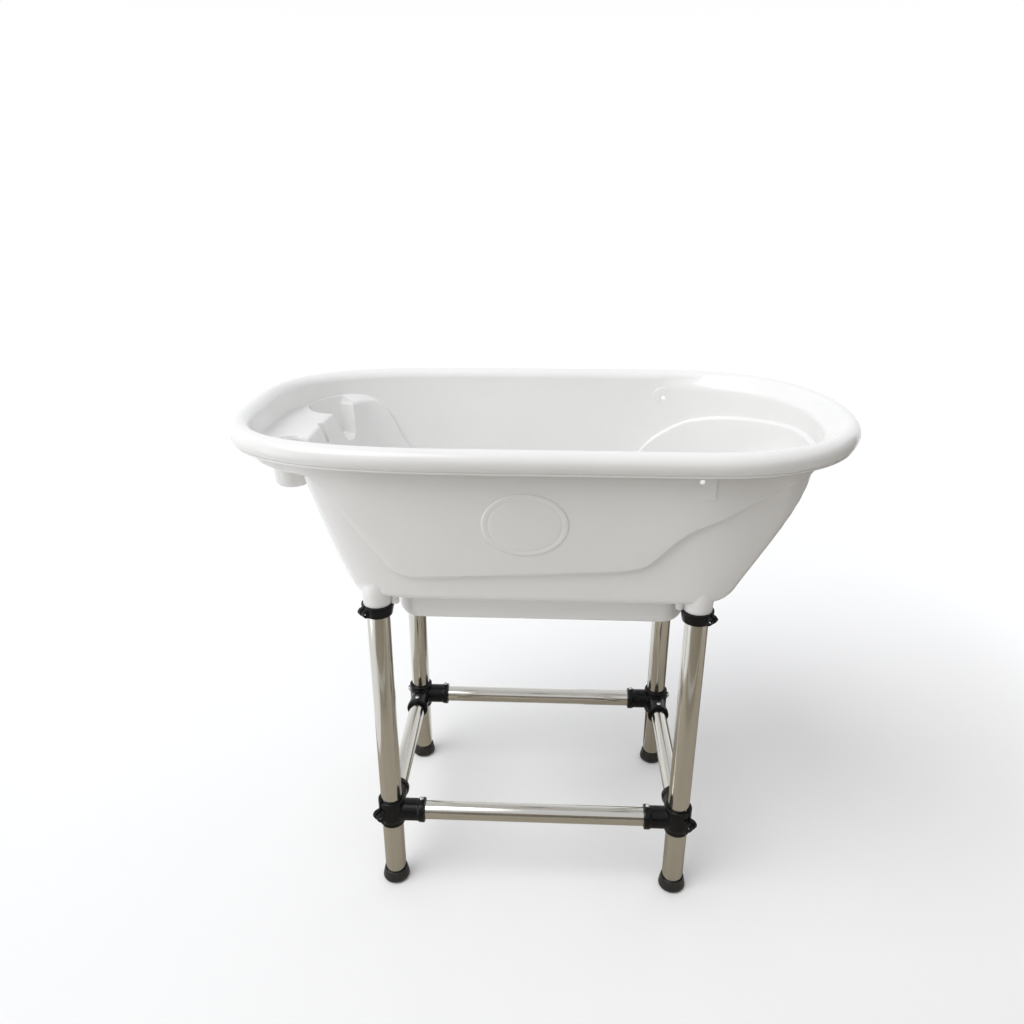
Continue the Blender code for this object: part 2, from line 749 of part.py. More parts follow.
def connector_mesh():
    """Three-way clamp: a ring on the leg with stubs along +X and +Y, and ears on the far corner."""
    body = rod("connector_blank", CONNECTOR_R, -CONNECTOR_HALF, CONNECTOR_HALF)
    joins, cuts = [], []
    for label, axis in (("x", Vector((1, 0, 0))), ("y", Vector((0, 1, 0)))):
        stub = rod("stub_" + label, STUB_R, 0.0, STUB_LENGTH, cutter=True)
        lip_start, lip_end = STUB_LENGTH - STUB_LIP, STUB_LENGTH + 0.0002
        lip = rod("stub_lip_" + label, STUB_LIP_R, lip_start, lip_end, cutter=True)
        boss = rod("boss_" + label, BOSS_R, STUB_R - 0.002, BOSS_TOP, cutter=True, steps=10)
        boss.location = axis * SET_SCREW_AT
        bore = rod("stub_bore_" + label, STUB_BORE, STUB_FLOOR, STUB_LENGTH + 0.01, cutter=True)
        hole = rod("boss_hole_" + label, SHANK_HOLE_R, 0.005, BOSS_TOP + 0.01, cutter=True, steps=10)
        hole.location = axis * SET_SCREW_AT
        for piece in (stub, lip, bore):
            turn_to(piece, axis)
        joins += [stub, lip, boss]
        cuts += [bore, hole]
    inner, outer, half_width, ear_half = CONNECTOR_EAR
    ears = ear_block("connector_ears", inner, outer, half_width, -ear_half, ear_half)
    slot = clamp_slot("connector_slot", outer, -CONNECTOR_HALF - 0.01, CONNECTOR_HALF + 0.01)
    for piece in (ears, slot):
        piece.rotation_euler.z = math.radians(EAR_TURN)
    leg_bore = rod("connector_leg_bore", CONNECTOR_BORE, -0.05, 0.05, cutter=True)
    corner = Vector((math.cos(math.radians(EAR_TURN)), math.sin(math.radians(EAR_TURN)), 0))
    clamp_hole = rod("clamp_hole", SHANK_HOLE_R, -0.02, 0.02, cutter=True, steps=10)
    turn_to(clamp_hole, (-corner.y, corner.x, 0), corner * CONNECTOR_SCREW_REACH)
    joins.append(ears)
    cuts += [leg_bore, slot, clamp_hole]
    combine(body, joins, "UNION")
    combine(body, cuts, "DIFFERENCE")
    mesh = baked(body, "connector")
    drop(joins + cuts)
    shade(mesh)
    return mesh


def screw_mesh(name, length):
    """Pan-head screw with its seat at z = 0, its head above and its shank below."""
    profile = [
        (0, HEAD_HEIGHT), (HEAD_R * 0.7, HEAD_HEIGHT), (HEAD_R, 0),
        (SHANK_R, 0), (SHANK_R, -length), (0, -length),
    ]
    mesh = baked(turned(name + "_blank", profile, steps=8), name)
    shade(mesh, 50)
    return mesh


def build_stand(materials):
    """Legs with feet and collars. Each clamp's ears point outwards from its corner."""
    collar = collar_mesh()
    screw = screw_mesh("collar_screw", 2 * COLLAR_EAR[2] - 0.001)
    middle = (COLLAR_TOP_Z + COLLAR_BOTTOM_Z) / 2
    for name, x, y, side_x, turn in leg_places():
        build_leg(name, x, y, materials["steel"])
        build_foot(name, x, y, materials["rubber"])
        clamp = add_object("collar_" + name, collar, materials["black"])
        clamp.location = (x, y, middle)
        clamp.rotation_euler.z = math.radians(turn + EAR_TURN)
        place_clamp_screw("collar_screw_" + name, screw, (x, y, middle), turn, COLLAR_SCREW_REACH,
                          COLLAR_EAR[2], side_x, materials["screw"])


def place_clamp_screw(name, mesh, centre, turn, distance, ear_half_width, side_x, material):
    """Lays a screw through a pair of ears, with its head on the side towards the tub's end."""
    angle = math.radians(turn + EAR_TURN)
    outward = Vector((math.cos(angle), math.sin(angle), 0))
    across = Vector((-outward.y, outward.x, 0))
    if across.x * side_x < 0:
        across = -across
    screw = add_object(name, mesh, material)
    turn_to(screw, across, Vector(centre) + outward * distance + across * (ear_half_width + GAP))


def build_brace_frame(materials):
    connector = connector_mesh()
    clamp_screw = screw_mesh("connector_screw", 2 * CONNECTOR_EAR[2] - 0.001)
    set_screw = screw_mesh("set_screw", BOSS_TOP - RAIL_R - 2 * GAP)
    for name, x, y, side_x, turn in leg_places():
        clamp = add_object("connector_" + name, connector, materials["black"])
        clamp.location = (x, y, RAIL_Z)
        clamp.rotation_euler.z = math.radians(turn)
        place_clamp_screw("connector_screw_" + name, clamp_screw, (x, y, RAIL_Z), turn,
                          CONNECTOR_SCREW_REACH, CONNECTOR_EAR[2], side_x, materials["screw"])
        inward = (("long", Vector((-side_x, 0, 0))), ("short", Vector((0, -math.copysign(1, y), 0))))
        for label, direction in inward:
            pin = add_object("rail_screw_" + label + "_" + name, set_screw, materials["screw"])
            pin.location = Vector((x, y, RAIL_Z + BOSS_TOP + GAP)) + direction * SET_SCREW_AT
    build_rails(materials["steel"])


def build_rails(material):
    start = STUB_FLOOR + GAP
    long_half = LEG_SPACING_X / 2 - start
    short_half = LEG_SPACING_Y / 2 - start
    for name, side in (("front", -1), ("back", 1)):
        rail = ring("rail_" + name, RAIL_R, RAIL_BORE, -long_half, long_half, material=material)
        turn_to(rail, (1, 0, 0), (LEG_CENTRE_X, side * LEG_SPACING_Y / 2, RAIL_Z))
    for name, side in (("left", -1), ("right", 1)):
        rail = ring("rail_" + name, RAIL_R, RAIL_BORE, -short_half, short_half, material=material)
        turn_to(rail, (0, 1, 0), (LEG_CENTRE_X + side * LEG_SPACING_X / 2, 0, RAIL_Z))


# ---------------------------------------------------------------- drain

def build_drain_flange(material):
    profile = [
        (FLANGE_R - 0.001, FLANGE_TOP_Z), (FLANGE_R, DRAIN_FLOOR_Z + GAP),
        (FLANGE_BODY_R, DRAIN_FLOOR_Z + GAP), (FLANGE_BODY_R, FLANGE_BOTTOM_Z),
        (FLANGE_OUTLET_R, FLANGE_BOTTOM_Z), (FLANGE_OUTLET_R, LEDGE_Z - LEDGE_THICK),
        (LEDGE_R, LEDGE_Z - LEDGE_THICK), (LEDGE_R, LEDGE_Z), (THROAT_R, LEDGE_Z),
        (THROAT_R, DRAIN_FLOOR_Z), (THROAT_R + FLANGE_BEVEL, FLANGE_TOP_Z),
    ]
    flange = turned("drain_flange", profile, material=material, closed=True)
    flange.location.x = DRAIN_X


def build_drain_gasket(material):
    gasket = ring("drain_gasket", GASKET_R, NUT_BORE, GASKET_BOTTOM_Z, GASKET_TOP_Z, material=material)
    gasket.location.x = DRAIN_X


def build_drain_nut(material):
    """Round nut with grip lugs."""
    nut = ring("nut_blank", NUT_R, NUT_BORE, NUT_BOTTOM_Z, NUT_TOP_Z)
    inner, outer, half_width = NUT_LUG
    low = (inner, -half_width, NUT_BOTTOM_Z + 0.0005)
    high = (outer, half_width, NUT_TOP_Z - 0.001)
    lugs = []
    for i in range(NUT_LUGS):
        lug = box("lug_%d" % i, low, high, cutter=True)
        lug.rotation_euler.z = math.tau * i / NUT_LUGS
        lugs.append(lug)
    combine(nut, lugs, "UNION")
    mesh = baked(nut, "drain_nut")
    drop(lugs)
    shade(mesh)
    add_object("drain_nut", mesh, material).location.x = DRAIN_X


def build_drain_spigot(material):
    """Screw-on outlet with a barbed spout, which a drain hose pushes onto."""
    seat = SPIGOT_SEAT_Z
    profile = [(SPIGOT_CUP_R, SPIGOT_TOP_Z), (SPIGOT_CUP_R, seat - 0.001), (BARB_R + 0.0015, seat - 0.005)]
    for i in range(2):
        barb_z = seat - 0.010 - BARB_PITCH * i
        profile += [(SPIGOT_R + 0.0005, barb_z), (BARB_R, barb_z - 0.0008)]
    profile += [
        (SPIGOT_R, SPIGOT_BOTTOM_Z), (SPIGOT_BORE, SPIGOT_BOTTOM_Z), (SPIGOT_BORE, seat - 0.001),
        (SPIGOT_BORE + 0.007, seat), (NUT_BORE, seat), (NUT_BORE, SPIGOT_TOP_Z),
    ]
    spigot = turned("drain_spigot", profile, material=material, closed=True)
    spigot.location.x = DRAIN_X


def build_strainer(material):
    """Dished hair strainer that drops onto the flange's ledge."""
    low = LEDGE_Z + GAP
    inner = STRAINER_R - STRAINER_THICK
    profile = [
        (STRAINER_R, low + STRAINER_HEIGHT), (STRAINER_R, low), (0, low), (0, low + STRAINER_THICK),
        (inner, low + STRAINER_THICK), (inner, low + STRAINER_HEIGHT),
    ]
    blank = turned("strainer_blank", profile, closed=True)
    holes = []
    for i in range(STRAINER_HOLES):
        angle = math.tau * i / STRAINER_HOLES
        hole = rod("strainer_hole_%d" % i, STRAINER_HOLE_R, low - 0.005, low + 0.01, cutter=True, steps=8)
        hole.location = (STRAINER_CIRCLE_R * math.cos(angle), STRAINER_CIRCLE_R * math.sin(angle), 0)
        holes.append(hole)
    combine(blank, holes, "DIFFERENCE")
    mesh = baked(blank, "strainer")
    drop(holes)
    shade(mesh)
    add_object("strainer", mesh, material).location.x = DRAIN_X


def build_plug(material):
    """Tapered stopper with a lip on the flange and a finger knob."""
    lip = FLANGE_TOP_Z + GAP
    knob = lip + KNOB_HEIGHT
    profile = [
        (0, knob), (KNOB_R - 0.0017, knob), (KNOB_R, knob - 0.0020), (KNOB_R - 0.0017, knob - 0.0045),
        (KNOB_NECK_R, knob - 0.0075), (KNOB_NECK_R + 0.0018, lip + PLUG_LIP_THICK),
        (PLUG_LIP_R - 0.001, lip + PLUG_LIP_THICK - 0.0006), (PLUG_LIP_R, lip + 0.0010),
        (PLUG_LIP_R - 0.0005, lip), (PLUG_TAPER_R[1], lip), (PLUG_TAPER_R[0], PLUG_BOTTOM_Z),
        (0, PLUG_BOTTOM_Z),
    ]
    plug = turned("drain_plug", profile, material=material)
    plug.location.x = DRAIN_X


def build_drain(materials):
    build_drain_flange(materials["drain_steel"])
    build_drain_gasket(materials["rubber"])
    build_drain_nut(materials["pipe"])
    build_drain_spigot(materials["pipe"])
    build_strainer(materials["drain_steel"])
    build_plug(materials["rubber"])


def main():
    materials = {
        "tub": make_material("tub_plastic", (0.80, 0.80, 0.78), 0.25),
        "steel": make_material("polished_tube", (0.72, 0.70, 0.66), 0.15, 1.0),
        "black": make_material("black_clamp_plastic", (0.015, 0.015, 0.017), 0.18),
        "screw": make_material("screw_steel", (0.75, 0.75, 0.75), 0.25, 1.0),
        "rubber": make_material("black_rubber", (0.02, 0.02, 0.02), 0.6),
        "pipe": make_material("drain_plastic", (0.10, 0.10, 0.11), 0.4),
        "drain_steel": make_material("drain_steel", (0.70, 0.70, 0.70), 0.22, 1.0),
    }
    build_tub(materials["tub"])
    build_stand(materials)
    build_brace_frame(materials)
    build_drain(materials)


clear_scene()
parts = make_collection(OBJECT_NAME)
cutters = make_collection(CUTTERS_NAME)
main()
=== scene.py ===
"""Looks of the raised pet bathtub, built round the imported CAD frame. Metres, +Z up, the front faces -Y."""

import math

import bmesh
import bpy
import numpy as np
from mathutils import Matrix, Vector


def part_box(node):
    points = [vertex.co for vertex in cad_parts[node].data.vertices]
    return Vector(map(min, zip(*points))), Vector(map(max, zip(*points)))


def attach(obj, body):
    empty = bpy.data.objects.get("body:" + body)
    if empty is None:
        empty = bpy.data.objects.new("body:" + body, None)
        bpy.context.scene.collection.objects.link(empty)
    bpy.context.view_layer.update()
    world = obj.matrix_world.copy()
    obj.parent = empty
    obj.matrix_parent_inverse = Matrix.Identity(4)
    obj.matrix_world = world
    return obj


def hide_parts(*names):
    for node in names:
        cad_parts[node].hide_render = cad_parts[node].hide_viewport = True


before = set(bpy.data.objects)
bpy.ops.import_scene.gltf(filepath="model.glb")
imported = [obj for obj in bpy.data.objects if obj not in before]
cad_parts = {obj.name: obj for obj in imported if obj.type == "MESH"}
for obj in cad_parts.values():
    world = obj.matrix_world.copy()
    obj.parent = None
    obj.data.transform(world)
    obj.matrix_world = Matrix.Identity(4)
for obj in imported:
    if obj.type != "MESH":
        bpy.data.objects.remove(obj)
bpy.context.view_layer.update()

# ---- sizes

# As in the CAD source, except SIDE_STEP, BASIN_CAPS, BASIN_FLOOR_ENDS, SOCKET_TOP_Z and TETHER_PAD

TUB_LENGTH = 0.94
TUB_WIDTH = 0.504
RIM_CREST_Z = 0.806
WALL = 0.004
ROLL_RADIUS = 0.016
ROLL_CURL = -55
LIP_INSET = 0.0058
LIP_HEIGHT = 0.003
LIP_LAND = 0.005
DRAFT = 0.11
SIDE_STEP = 0.006
FLOOR_Z = 0.56
ROLL_Z = RIM_CREST_Z - ROLL_RADIUS
WALL_INSET = 2 * ROLL_RADIUS
RIM_PLAN = (-TUB_LENGTH / 2, TUB_LENGTH / 2, TUB_WIDTH / 2, 0.402, 0.26, 3.07, 2.23)
BASIN_CAPS = ((0.078, 0.092), (0.13, 0.22))
BASIN_POWERS = (3.0, 2.8)
BASIN_FLOOR_ENDS = (-0.289, 0.299)
BASIN_TOP_ENDS = (-0.362, 0.425)
BASIN_TOP_Z = 0.756
BASIN_BULGES = (0.8, 0.93)
REST_FROM = (0.35, 0.95)
REST_DEPTH = 0.017
REST_ROLL = 55
SHOULDER_Z = 0.778
REST_RISE = 0.008
SUMP_ENDS = (-0.231, 0.233)
SUMP_HALF = 0.153
SUMP_CORNER = 0.05
SUMP_POWER = 2.4
SUMP_Z = 0.51
SUMP_FALL = 0.003
SUMP_DRAFT = 0.003
DRAIN_HOLE_R = 0.0242
DRAIN_SEAT_R = 0.04
OUTER_LINE = (
    (-0.44, 0.752), (-0.325, 0.7515), (-0.314, 0.7475), (-0.279, 0.7), (-0.247, 0.655),
    (-0.2205, 0.619), (-0.206, 0.604), (-0.184, 0.5995), (-0.057, 0.607), (0.113, 0.617),
    (0.15, 0.624), (0.165, 0.638), (0.18, 0.658), (0.208, 0.683), (0.2446, 0.699),
    (0.2917, 0.723), (0.3187, 0.732), (0.37, 0.738), (0.405, 0.745), (0.44, 0.753),
)
INNER_LINE = (
    (-0.44, 0.757), (-0.412, 0.76), (-0.385, 0.766), (-0.346, 0.769), (-0.322, 0.766),
    (-0.303, 0.757), (-0.284, 0.737), (-0.272, 0.714), (-0.262, 0.688), (-0.24, 0.654),
    (-0.213, 0.623), (-0.199, 0.609), (-0.178, 0.6045), (-0.057, 0.612), (0.113, 0.622),
    (0.146, 0.628), (0.16, 0.638), (0.181, 0.666), (0.192, 0.68), (0.209, 0.693),
    (0.2335, 0.709), (0.259, 0.722), (0.291, 0.73), (0.3225, 0.7355), (0.358, 0.7405),
    (0.392, 0.7465), (0.411, 0.752), (0.44, 0.757),
)
SHELF_Z = 0.757
RAY_CENTRES_X = (-0.2, 0.1)
HOLDERS = (
    ("front_cup", -0.385, -0.064, 0.0275, 0.6950),
    ("brush_slot", -0.3575, 0.034, 0.009, 0.724),
    ("back_cup", -0.3665, 0.1340, 0.0385, 0.7010),
)
HOLDER_WALL = 0.0035
HOLDER_TAPER = 0.07
HOLDER_MOUTH_Z = 0.774
HOLDER_ROOM = (0.65, 0.79)
HOLDER_CLEARANCE = 0.0012
TETHER_X = 0.2135
TETHER_Z = 0.76
TETHER_HOLE_R = 0.0036
TETHER_PAD = (0.0195, 0.026, 0.0016, 0.003)
OVAL_X = -0.0215
OVAL_Z = 0.69
OVAL_HALF = (0.061, 0.049)
CORNERS = (
    ("front_left", -1, -1, 0),
    ("front_right", 1, -1, 90),
    ("back_right", 1, 1, 180),
    ("back_left", -1, 1, 270),
)
GAP = 0.0003
LEG_R = 0.0175
LEG_BORE = 0.0163
LEG_TOP_Z = 0.553
SOCKET_R = 0.0215
SOCKET_TOP_Z = 0.585
SOCKET_SHOULDER_Z = 0.5415
SKIRT_R = 0.02
SKIRT_BOTTOM_Z = 0.5235
SLIT = 0.002
GUSSET_R = 0.0065
GUSSET_REACH = 0.0265
EAR_TURN = 225
RAIL_R = 0.015
RAIL_BORE = 0.0138

# Fineness of the visual meshes
END_RAYS = 96
SIDE_RAYS = 40
ROUND = 64
LINE_BLUR = 0.007
BASIN_BLEND = 0.009


# ---- mesh helpers

def link(name, data):
    obj = bpy.data.objects.new(name, data)
    bpy.context.scene.collection.objects.link(obj)
    return obj


def mesh_of(name, vertices, faces):
    mesh = bpy.data.meshes.new(name)
    mesh.from_pydata([tuple(v) for v in vertices], [], faces)
    bm = bmesh.new()
    bm.from_mesh(mesh)
    bmesh.ops.remove_doubles(bm, verts=bm.verts, dist=1e-7)
    bmesh.ops.triangulate(bm, faces=[face for face in bm.faces if len(face.verts) > 4])
    bmesh.ops.recalc_face_normals(bm, faces=bm.faces)
    bm.to_mesh(mesh)
    bm.free()
    return mesh


def shade(mesh, angle=35):
    mesh.shade_smooth()
    mesh.set_sharp_from_angle(angle=math.radians(angle))
    return mesh


def bezier_corner(before, corner, after, tangent, steps):
    before, corner, after = Vector(before), Vector(corner), Vector(after)
    to_before, to_after = before - corner, after - corner
    length = min(tangent, 0.47 * to_before.length, 0.47 * to_after.length)
    start = corner + to_before.normalized() * length
    end = corner + to_after.normalized() * length
    pull_start = start.lerp(corner, 0.5523)
    pull_end = end.lerp(corner, 0.5523)
    points = []
    for i in range(steps + 1):
        t = i / steps
        a, b, c, d = (1 - t) ** 3, 3 * t * (1 - t) ** 2, 3 * t * t * (1 - t), t ** 3
        points.append(tuple(start * a + pull_start * b + pull_end * c + end * d))
    return points


def rounded(points, steps=6, loop=False):
    """A path of (along, up, tangent) points whose corners are rounded; a tangent of 0 keeps the point."""
    count = len(points)
    path = []
    for i, (*here, tangent) in enumerate(points):
        if tangent and (loop or 0 < i < count - 1):
            path += bezier_corner(points[i - 1][:2], here, points[(i + 1) % count][:2], tangent, steps)
        else:
            path.append(tuple(here))
    return path


def loft(name, profiles, closed, capped=True):
    """Joins equal lists of points round the object; an open profile's two ends can be capped."""
    count = len(profiles[0])
    vertices = [point for profile in profiles for point in profile]
    faces = []
    for i in range(len(profiles)):
        here, there = i * count, (i + 1) % len(profiles) * count
        for j in range(count if closed else count - 1):
            k = (j + 1) % count
            faces.append((here + j, there + j, there + k, here + k))
    if capped and not closed:
        faces += [[i * count + end for i in range(len(profiles))] for end in (0, count - 1)]
    return mesh_of(name, vertices, faces)


def lathe(name, path, closed=False, steps=ROUND):
    """A path of (radius, z) points turned about Z."""
    turns = [math.tau * i / steps for i in range(steps)]
    return loft(name, [[(r * math.cos(a), r * math.sin(a), z) for r, z in path] for a in turns], closed, False)


def turned(name, path, closed=False, steps=ROUND):
    return link(name, lathe(name, path, closed, steps))


def rod(name, radius, low, high, edge=0.0, steps=ROUND):
    path = rounded([(0, high, 0), (radius, high, edge), (radius, low, edge), (0, low, 0)], 3)
    return turned(name, path, steps=steps)


def box(name, low, high):
    corners = [(x, y, z) for x in (low[0], high[0]) for y in (low[1], high[1]) for z in (low[2], high[2])]
    faces = [(0, 1, 3, 2), (4, 6, 7, 5), (0, 4, 5, 1), (2, 3, 7, 6), (0, 2, 6, 4), (1, 5, 7, 3)]
    return link(name, mesh_of(name, corners, faces))


def turn_to(obj, axis, location=(0, 0, 0)):
    obj.rotation_euler = Vector((0, 0, 1)).rotation_difference(Vector(axis)).to_euler()
    obj.location = location
    return obj


def combine(obj, others, operation):
    for other in others:
        modifier = obj.modifiers.new(operation.title(), "BOOLEAN")
        modifier.operation = operation
        modifier.solver = "MANIFOLD"
        modifier.object = other


def baked(obj, name):
    """The evaluated mesh of an object in world space, with the object itself removed."""
    bpy.context.view_layer.update()
    evaluated = obj.evaluated_get(bpy.context.evaluated_depsgraph_get())
    mesh = bpy.data.meshes.new_from_object(evaluated)
    mesh.transform(obj.matrix_world)
    mesh.name = name
    bpy.data.objects.remove(obj)
    return mesh


def drop(objects):
    for obj in objects:
        bpy.data.objects.remove(obj)


def moulded(mesh, voxel, smooths):
    """The mesh with soft moulded edges: remeshed finely, then smoothed."""
    obj = link("moulding", mesh)
    remesh = obj.modifiers.new("Remesh", "REMESH")
    remesh.mode = "VOXEL"
    remesh.voxel_size = voxel
    smooth = obj.modifiers.new("Smooth", "SMOOTH")
    smooth.factor = 0.5
    smooth.iterations = smooths
    result = baked(obj, mesh.name)
    result.shade_smooth()
    return result


# ---- plan outlines

def plan_level(plan, x, y):
    left, right, half, left_cap, right_cap, left_power, right_power = plan
    if x < left + left_cap:
        return ((left + left_cap - x) / left_cap) ** left_power + (abs(y) / half) ** left_power
    if x > right - right_cap:
        return ((x - right + right_cap) / right_cap) ** right_power + (abs(y) / half) ** right_power
    return abs(y) / half


def columns(end_rays=END_RAYS, side_rays=SIDE_RAYS):
    """Vertical planes round the tub, anticlockwise from the front left: (start x, direction x, direction y)."""
    left, right = RAY_CENTRES_X
    planes = [(left + (right - left) * i / side_rays, 0.0, -1.0) for i in range(side_rays)]
    for i in range(end_rays):
        angle = math.pi * (i / end_rays - 0.5)
        planes.append((right, math.cos(angle), math.sin(angle)))
    planes += [(right + (left - right) * i / side_rays, 0.0, 1.0) for i in range(side_rays)]
    for i in range(end_rays):
        angle = math.pi * (i / end_rays + 0.5)
        planes.append((left, math.cos(angle), math.sin(angle)))
    return planes


def reach(plan, column):
    start, dx, dy = column
    low, high = 0.0, 0.6
    for _ in range(30):
        middle = (low + high) / 2
        if plan_level(plan, start + dx * middle, dy * middle) < 1:
            low = middle
        else:
            high = middle
    return low


def facing(plan, column, distance):
    start, dx, dy = column
    x, y = start + dx * distance, dy * distance
    step = 0.0005
    gx = plan_level(plan, x + step, y) - plan_level(plan, x - step, y)
    gy = plan_level(plan, x, y + step) - plan_level(plan, x, y - step)
    return (gx * dx + gy * dy) / math.hypot(gx, gy)


def between(low, high, share):
    return low + (high - low) * share


def basin_plan(z, inset):
    share = (z - FLOOR_Z) / (BASIN_TOP_Z - FLOOR_Z)
    above = max(share, 0.0)
    left = between(BASIN_FLOOR_ENDS[0], BASIN_TOP_ENDS[0], above ** BASIN_BULGES[0]) + inset
    right = between(BASIN_FLOOR_ENDS[1], BASIN_TOP_ENDS[1], above ** BASIN_BULGES[1]) - inset
    half = TUB_WIDTH / 2 - WALL_INSET - DRAFT * (ROLL_Z - z) - SIDE_STEP - inset
    left_cap = between(BASIN_CAPS[0][0], BASIN_CAPS[1][0], share) - inset
    right_cap = between(BASIN_CAPS[0][1], BASIN_CAPS[1][1], share) - inset
    return (left, right, half, left_cap, right_cap, *BASIN_POWERS)


def sump_plan(inset):
    left, right = SUMP_ENDS
    corner = SUMP_CORNER - inset
    return (left + inset, right - inset, SUMP_HALF - inset, corner, corner, SUMP_POWER, SUMP_POWER)


def line_height(line, x):
    """Height of a shelf line, smoothed over a short way along the tub."""
    xs, zs = zip(*line)
    near = [x + LINE_BLUR * (i / 4 - 1) for i in range(9)]
    return float(np.mean(np.interp(near, xs, zs)))


def soft_min(a, b, width):
    lap = max(width - abs(a - b), 0.0) / width
    return min(a, b) - lap * lap * width / 4


# ---- tub shell

class Column:
    """One vertical plane of the tub, which gives points of the wall sections on it."""

    def __init__(self, column):
        self.column = column
        self.rim_reach = reach(RIM_PLAN, column)
        self.rim_facing = facing(RIM_PLAN, column, self.rim_reach)
        start, full = REST_FROM
        share = min(max((column[1] - start) / (full - start), 0), 1)
        self.rest = share * share * (3 - 2 * share)
        self.shoulder_z = SHOULDER_Z + REST_RISE * self.rest
        place = column[0] + column[1] * self.upper(ROLL_Z - 0.07, WALL_INSET)
        self.outer_line = line_height(OUTER_LINE, place)
        self.inner_line = max(line_height(INNER_LINE, place), self.outer_line + 0.0025)
        slope = np.interp(place, (-0.33, -0.21, -0.17, 0.1, 0.3), (0.001, 0.0015, 0.0025, 0.003, 0.0025))
        self.outer_rise = float(slope)

    def at(self, distance, z):
        start, dx, dy = self.column
        return (start + dx * distance, dy * distance, z)

    def rim(self, inset):
        return self.rim_reach - inset / self.rim_facing

    def upper(self, z, inset):
        inward = inset + REST_DEPTH * self.rest + DRAFT * (ROLL_Z - z)
        return self.rim_reach - inward / self.rim_facing

    def roll(self, radius, angle):
        """A point (distance, z) of the roll's section; over the neck rest its inner side ends early."""
        turn = math.radians(angle - REST_ROLL * self.rest * max(angle - 90, 0) / 90)
        return self.rim(ROLL_RADIUS - radius * math.cos(turn)), ROLL_Z + radius * math.sin(turn)

    def basin(self, z, inset, shelf_inset):
        wall = reach(basin_plan(z, inset), self.column)
        return soft_min(wall, self.upper(z, shelf_inset + SIDE_STEP), BASIN_BLEND)

    def drain(self, radius, z, edge):
        toward = Vector((edge[0], edge[1])).normalized()
        return (toward.x * radius, toward.y * radius, z)


def side_path(column, inset, line, rise):
    """Path of (distance, z) points on one side of the wall, from the sump floor up to the rim's height."""
    floor, sump = FLOOR_Z - inset, SUMP_Z - inset
    shelf_inset = WALL_INSET - inset
    outside = inset > 0
    edge = min(line - rise, SHELF_Z - inset)
    sump_edge = reach(sump_plan(SUMP_DRAFT - inset), column.column)
    foot = floor + 0.026
    path = [
        (sump_edge - 0.022, sump, 0),
        (sump_edge, sump, 0.014 if outside else 0.011),
        (reach(sump_plan(-inset), column.column), floor, 0.004 if outside else 0.006),
        (column.basin(floor, -inset, shelf_inset), floor, 0.022 if outside else 0.018),
    ]
    rows = 11
    for i in range(rows):
        z = foot + (edge - 0.009 - foot) * (i / (rows - 1)) ** 1.2
        path.append((column.basin(z, -inset, shelf_inset), z, 0))
    path.append((column.basin(edge, -inset, shelf_inset), edge, 0.003 if outside else 0.0045))
    path.append((column.upper(line, shelf_inset), line, 0.003 if outside else 0.006))
    shoulder = column.shoulder_z - inset / 2
    for i in range(1, 5):
        z = line + (shoulder - 0.004 - line) * i / 5
        path.append((column.upper(z, shelf_inset), z, 0))
    path.append((column.upper(shoulder, shelf_inset), shoulder, 0.008))
    path.append((*column.roll(ROLL_RADIUS - inset, 180), 0))
    return rounded(path, 6)


def side_points(column, inset, line, rise):
    """Points of one side of the wall, from the drain hole up to the rolled rim."""
    path = side_path(column, inset, line, rise)
    edge = column.at(*path[0])
    seat_z = SUMP_Z - SUMP_FALL - inset
    seat = Vector(column.drain(DRAIN_SEAT_R, seat_z, edge))
    points = [column.drain(DRAIN_HOLE_R, seat_z, edge), tuple(seat)]
    points += [tuple(seat.lerp(Vector(edge), i / 6)) for i in range(1, 6)]
    return points + [column.at(*point) for point in path[:-1]]


def arc(column, radius, start, end, steps):
    return [column.at(*column.roll(radius, start + (end - start) * i / steps)) for i in range(steps + 1)]


def shell_profile(plane):
    """Closed section of the tub wall on one column plane."""
    column = Column(plane)
    inside = side_points(column, 0.0, column.inner_line, 0.0) + arc(column, ROLL_RADIUS, 180, ROLL_CURL + 2, 34)
    outside = side_points(column, WALL, column.outer_line, column.outer_rise)
    outside += arc(column, ROLL_RADIUS - WALL, 180, -62, 16)
    lip_z = ROLL_Z + ROLL_RADIUS * math.sin(math.radians(ROLL_CURL))
    lip = [
        (*column.roll(ROLL_RADIUS, ROLL_CURL + 1), 0),
        (*column.roll(ROLL_RADIUS, ROLL_CURL), 0.0004),
        (column.rim(LIP_INSET), lip_z, 0.0007),
        (column.rim(LIP_INSET), lip_z - LIP_HEIGHT, 0.0012),
        (column.rim(LIP_INSET + LIP_LAND), lip_z - LIP_HEIGHT, 0.0012),
        (*column.roll(ROLL_RADIUS - WALL, -63.5), 0),
    ]
    return inside + [column.at(*point) for point in rounded(lip, 3)] + outside[::-1]


def space_profile(plane):
    """Mid-wall surface of the basin up to above the rim, which trims what is joined outside."""
    column = Column(plane)
    middle = WALL / 2
    inside = side_points(column, middle, column.inner_line - middle, 0.0)
    top = [column.at(column.rim(WALL_INSET - middle), z) for z in (ROLL_Z, RIM_CREST_Z + 0.02)]
    return inside[1:] + top


def leg_place(name):
    low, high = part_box("leg_" + name)
    return (low.x + high.x) / 2, (low.y + high.y) / 2


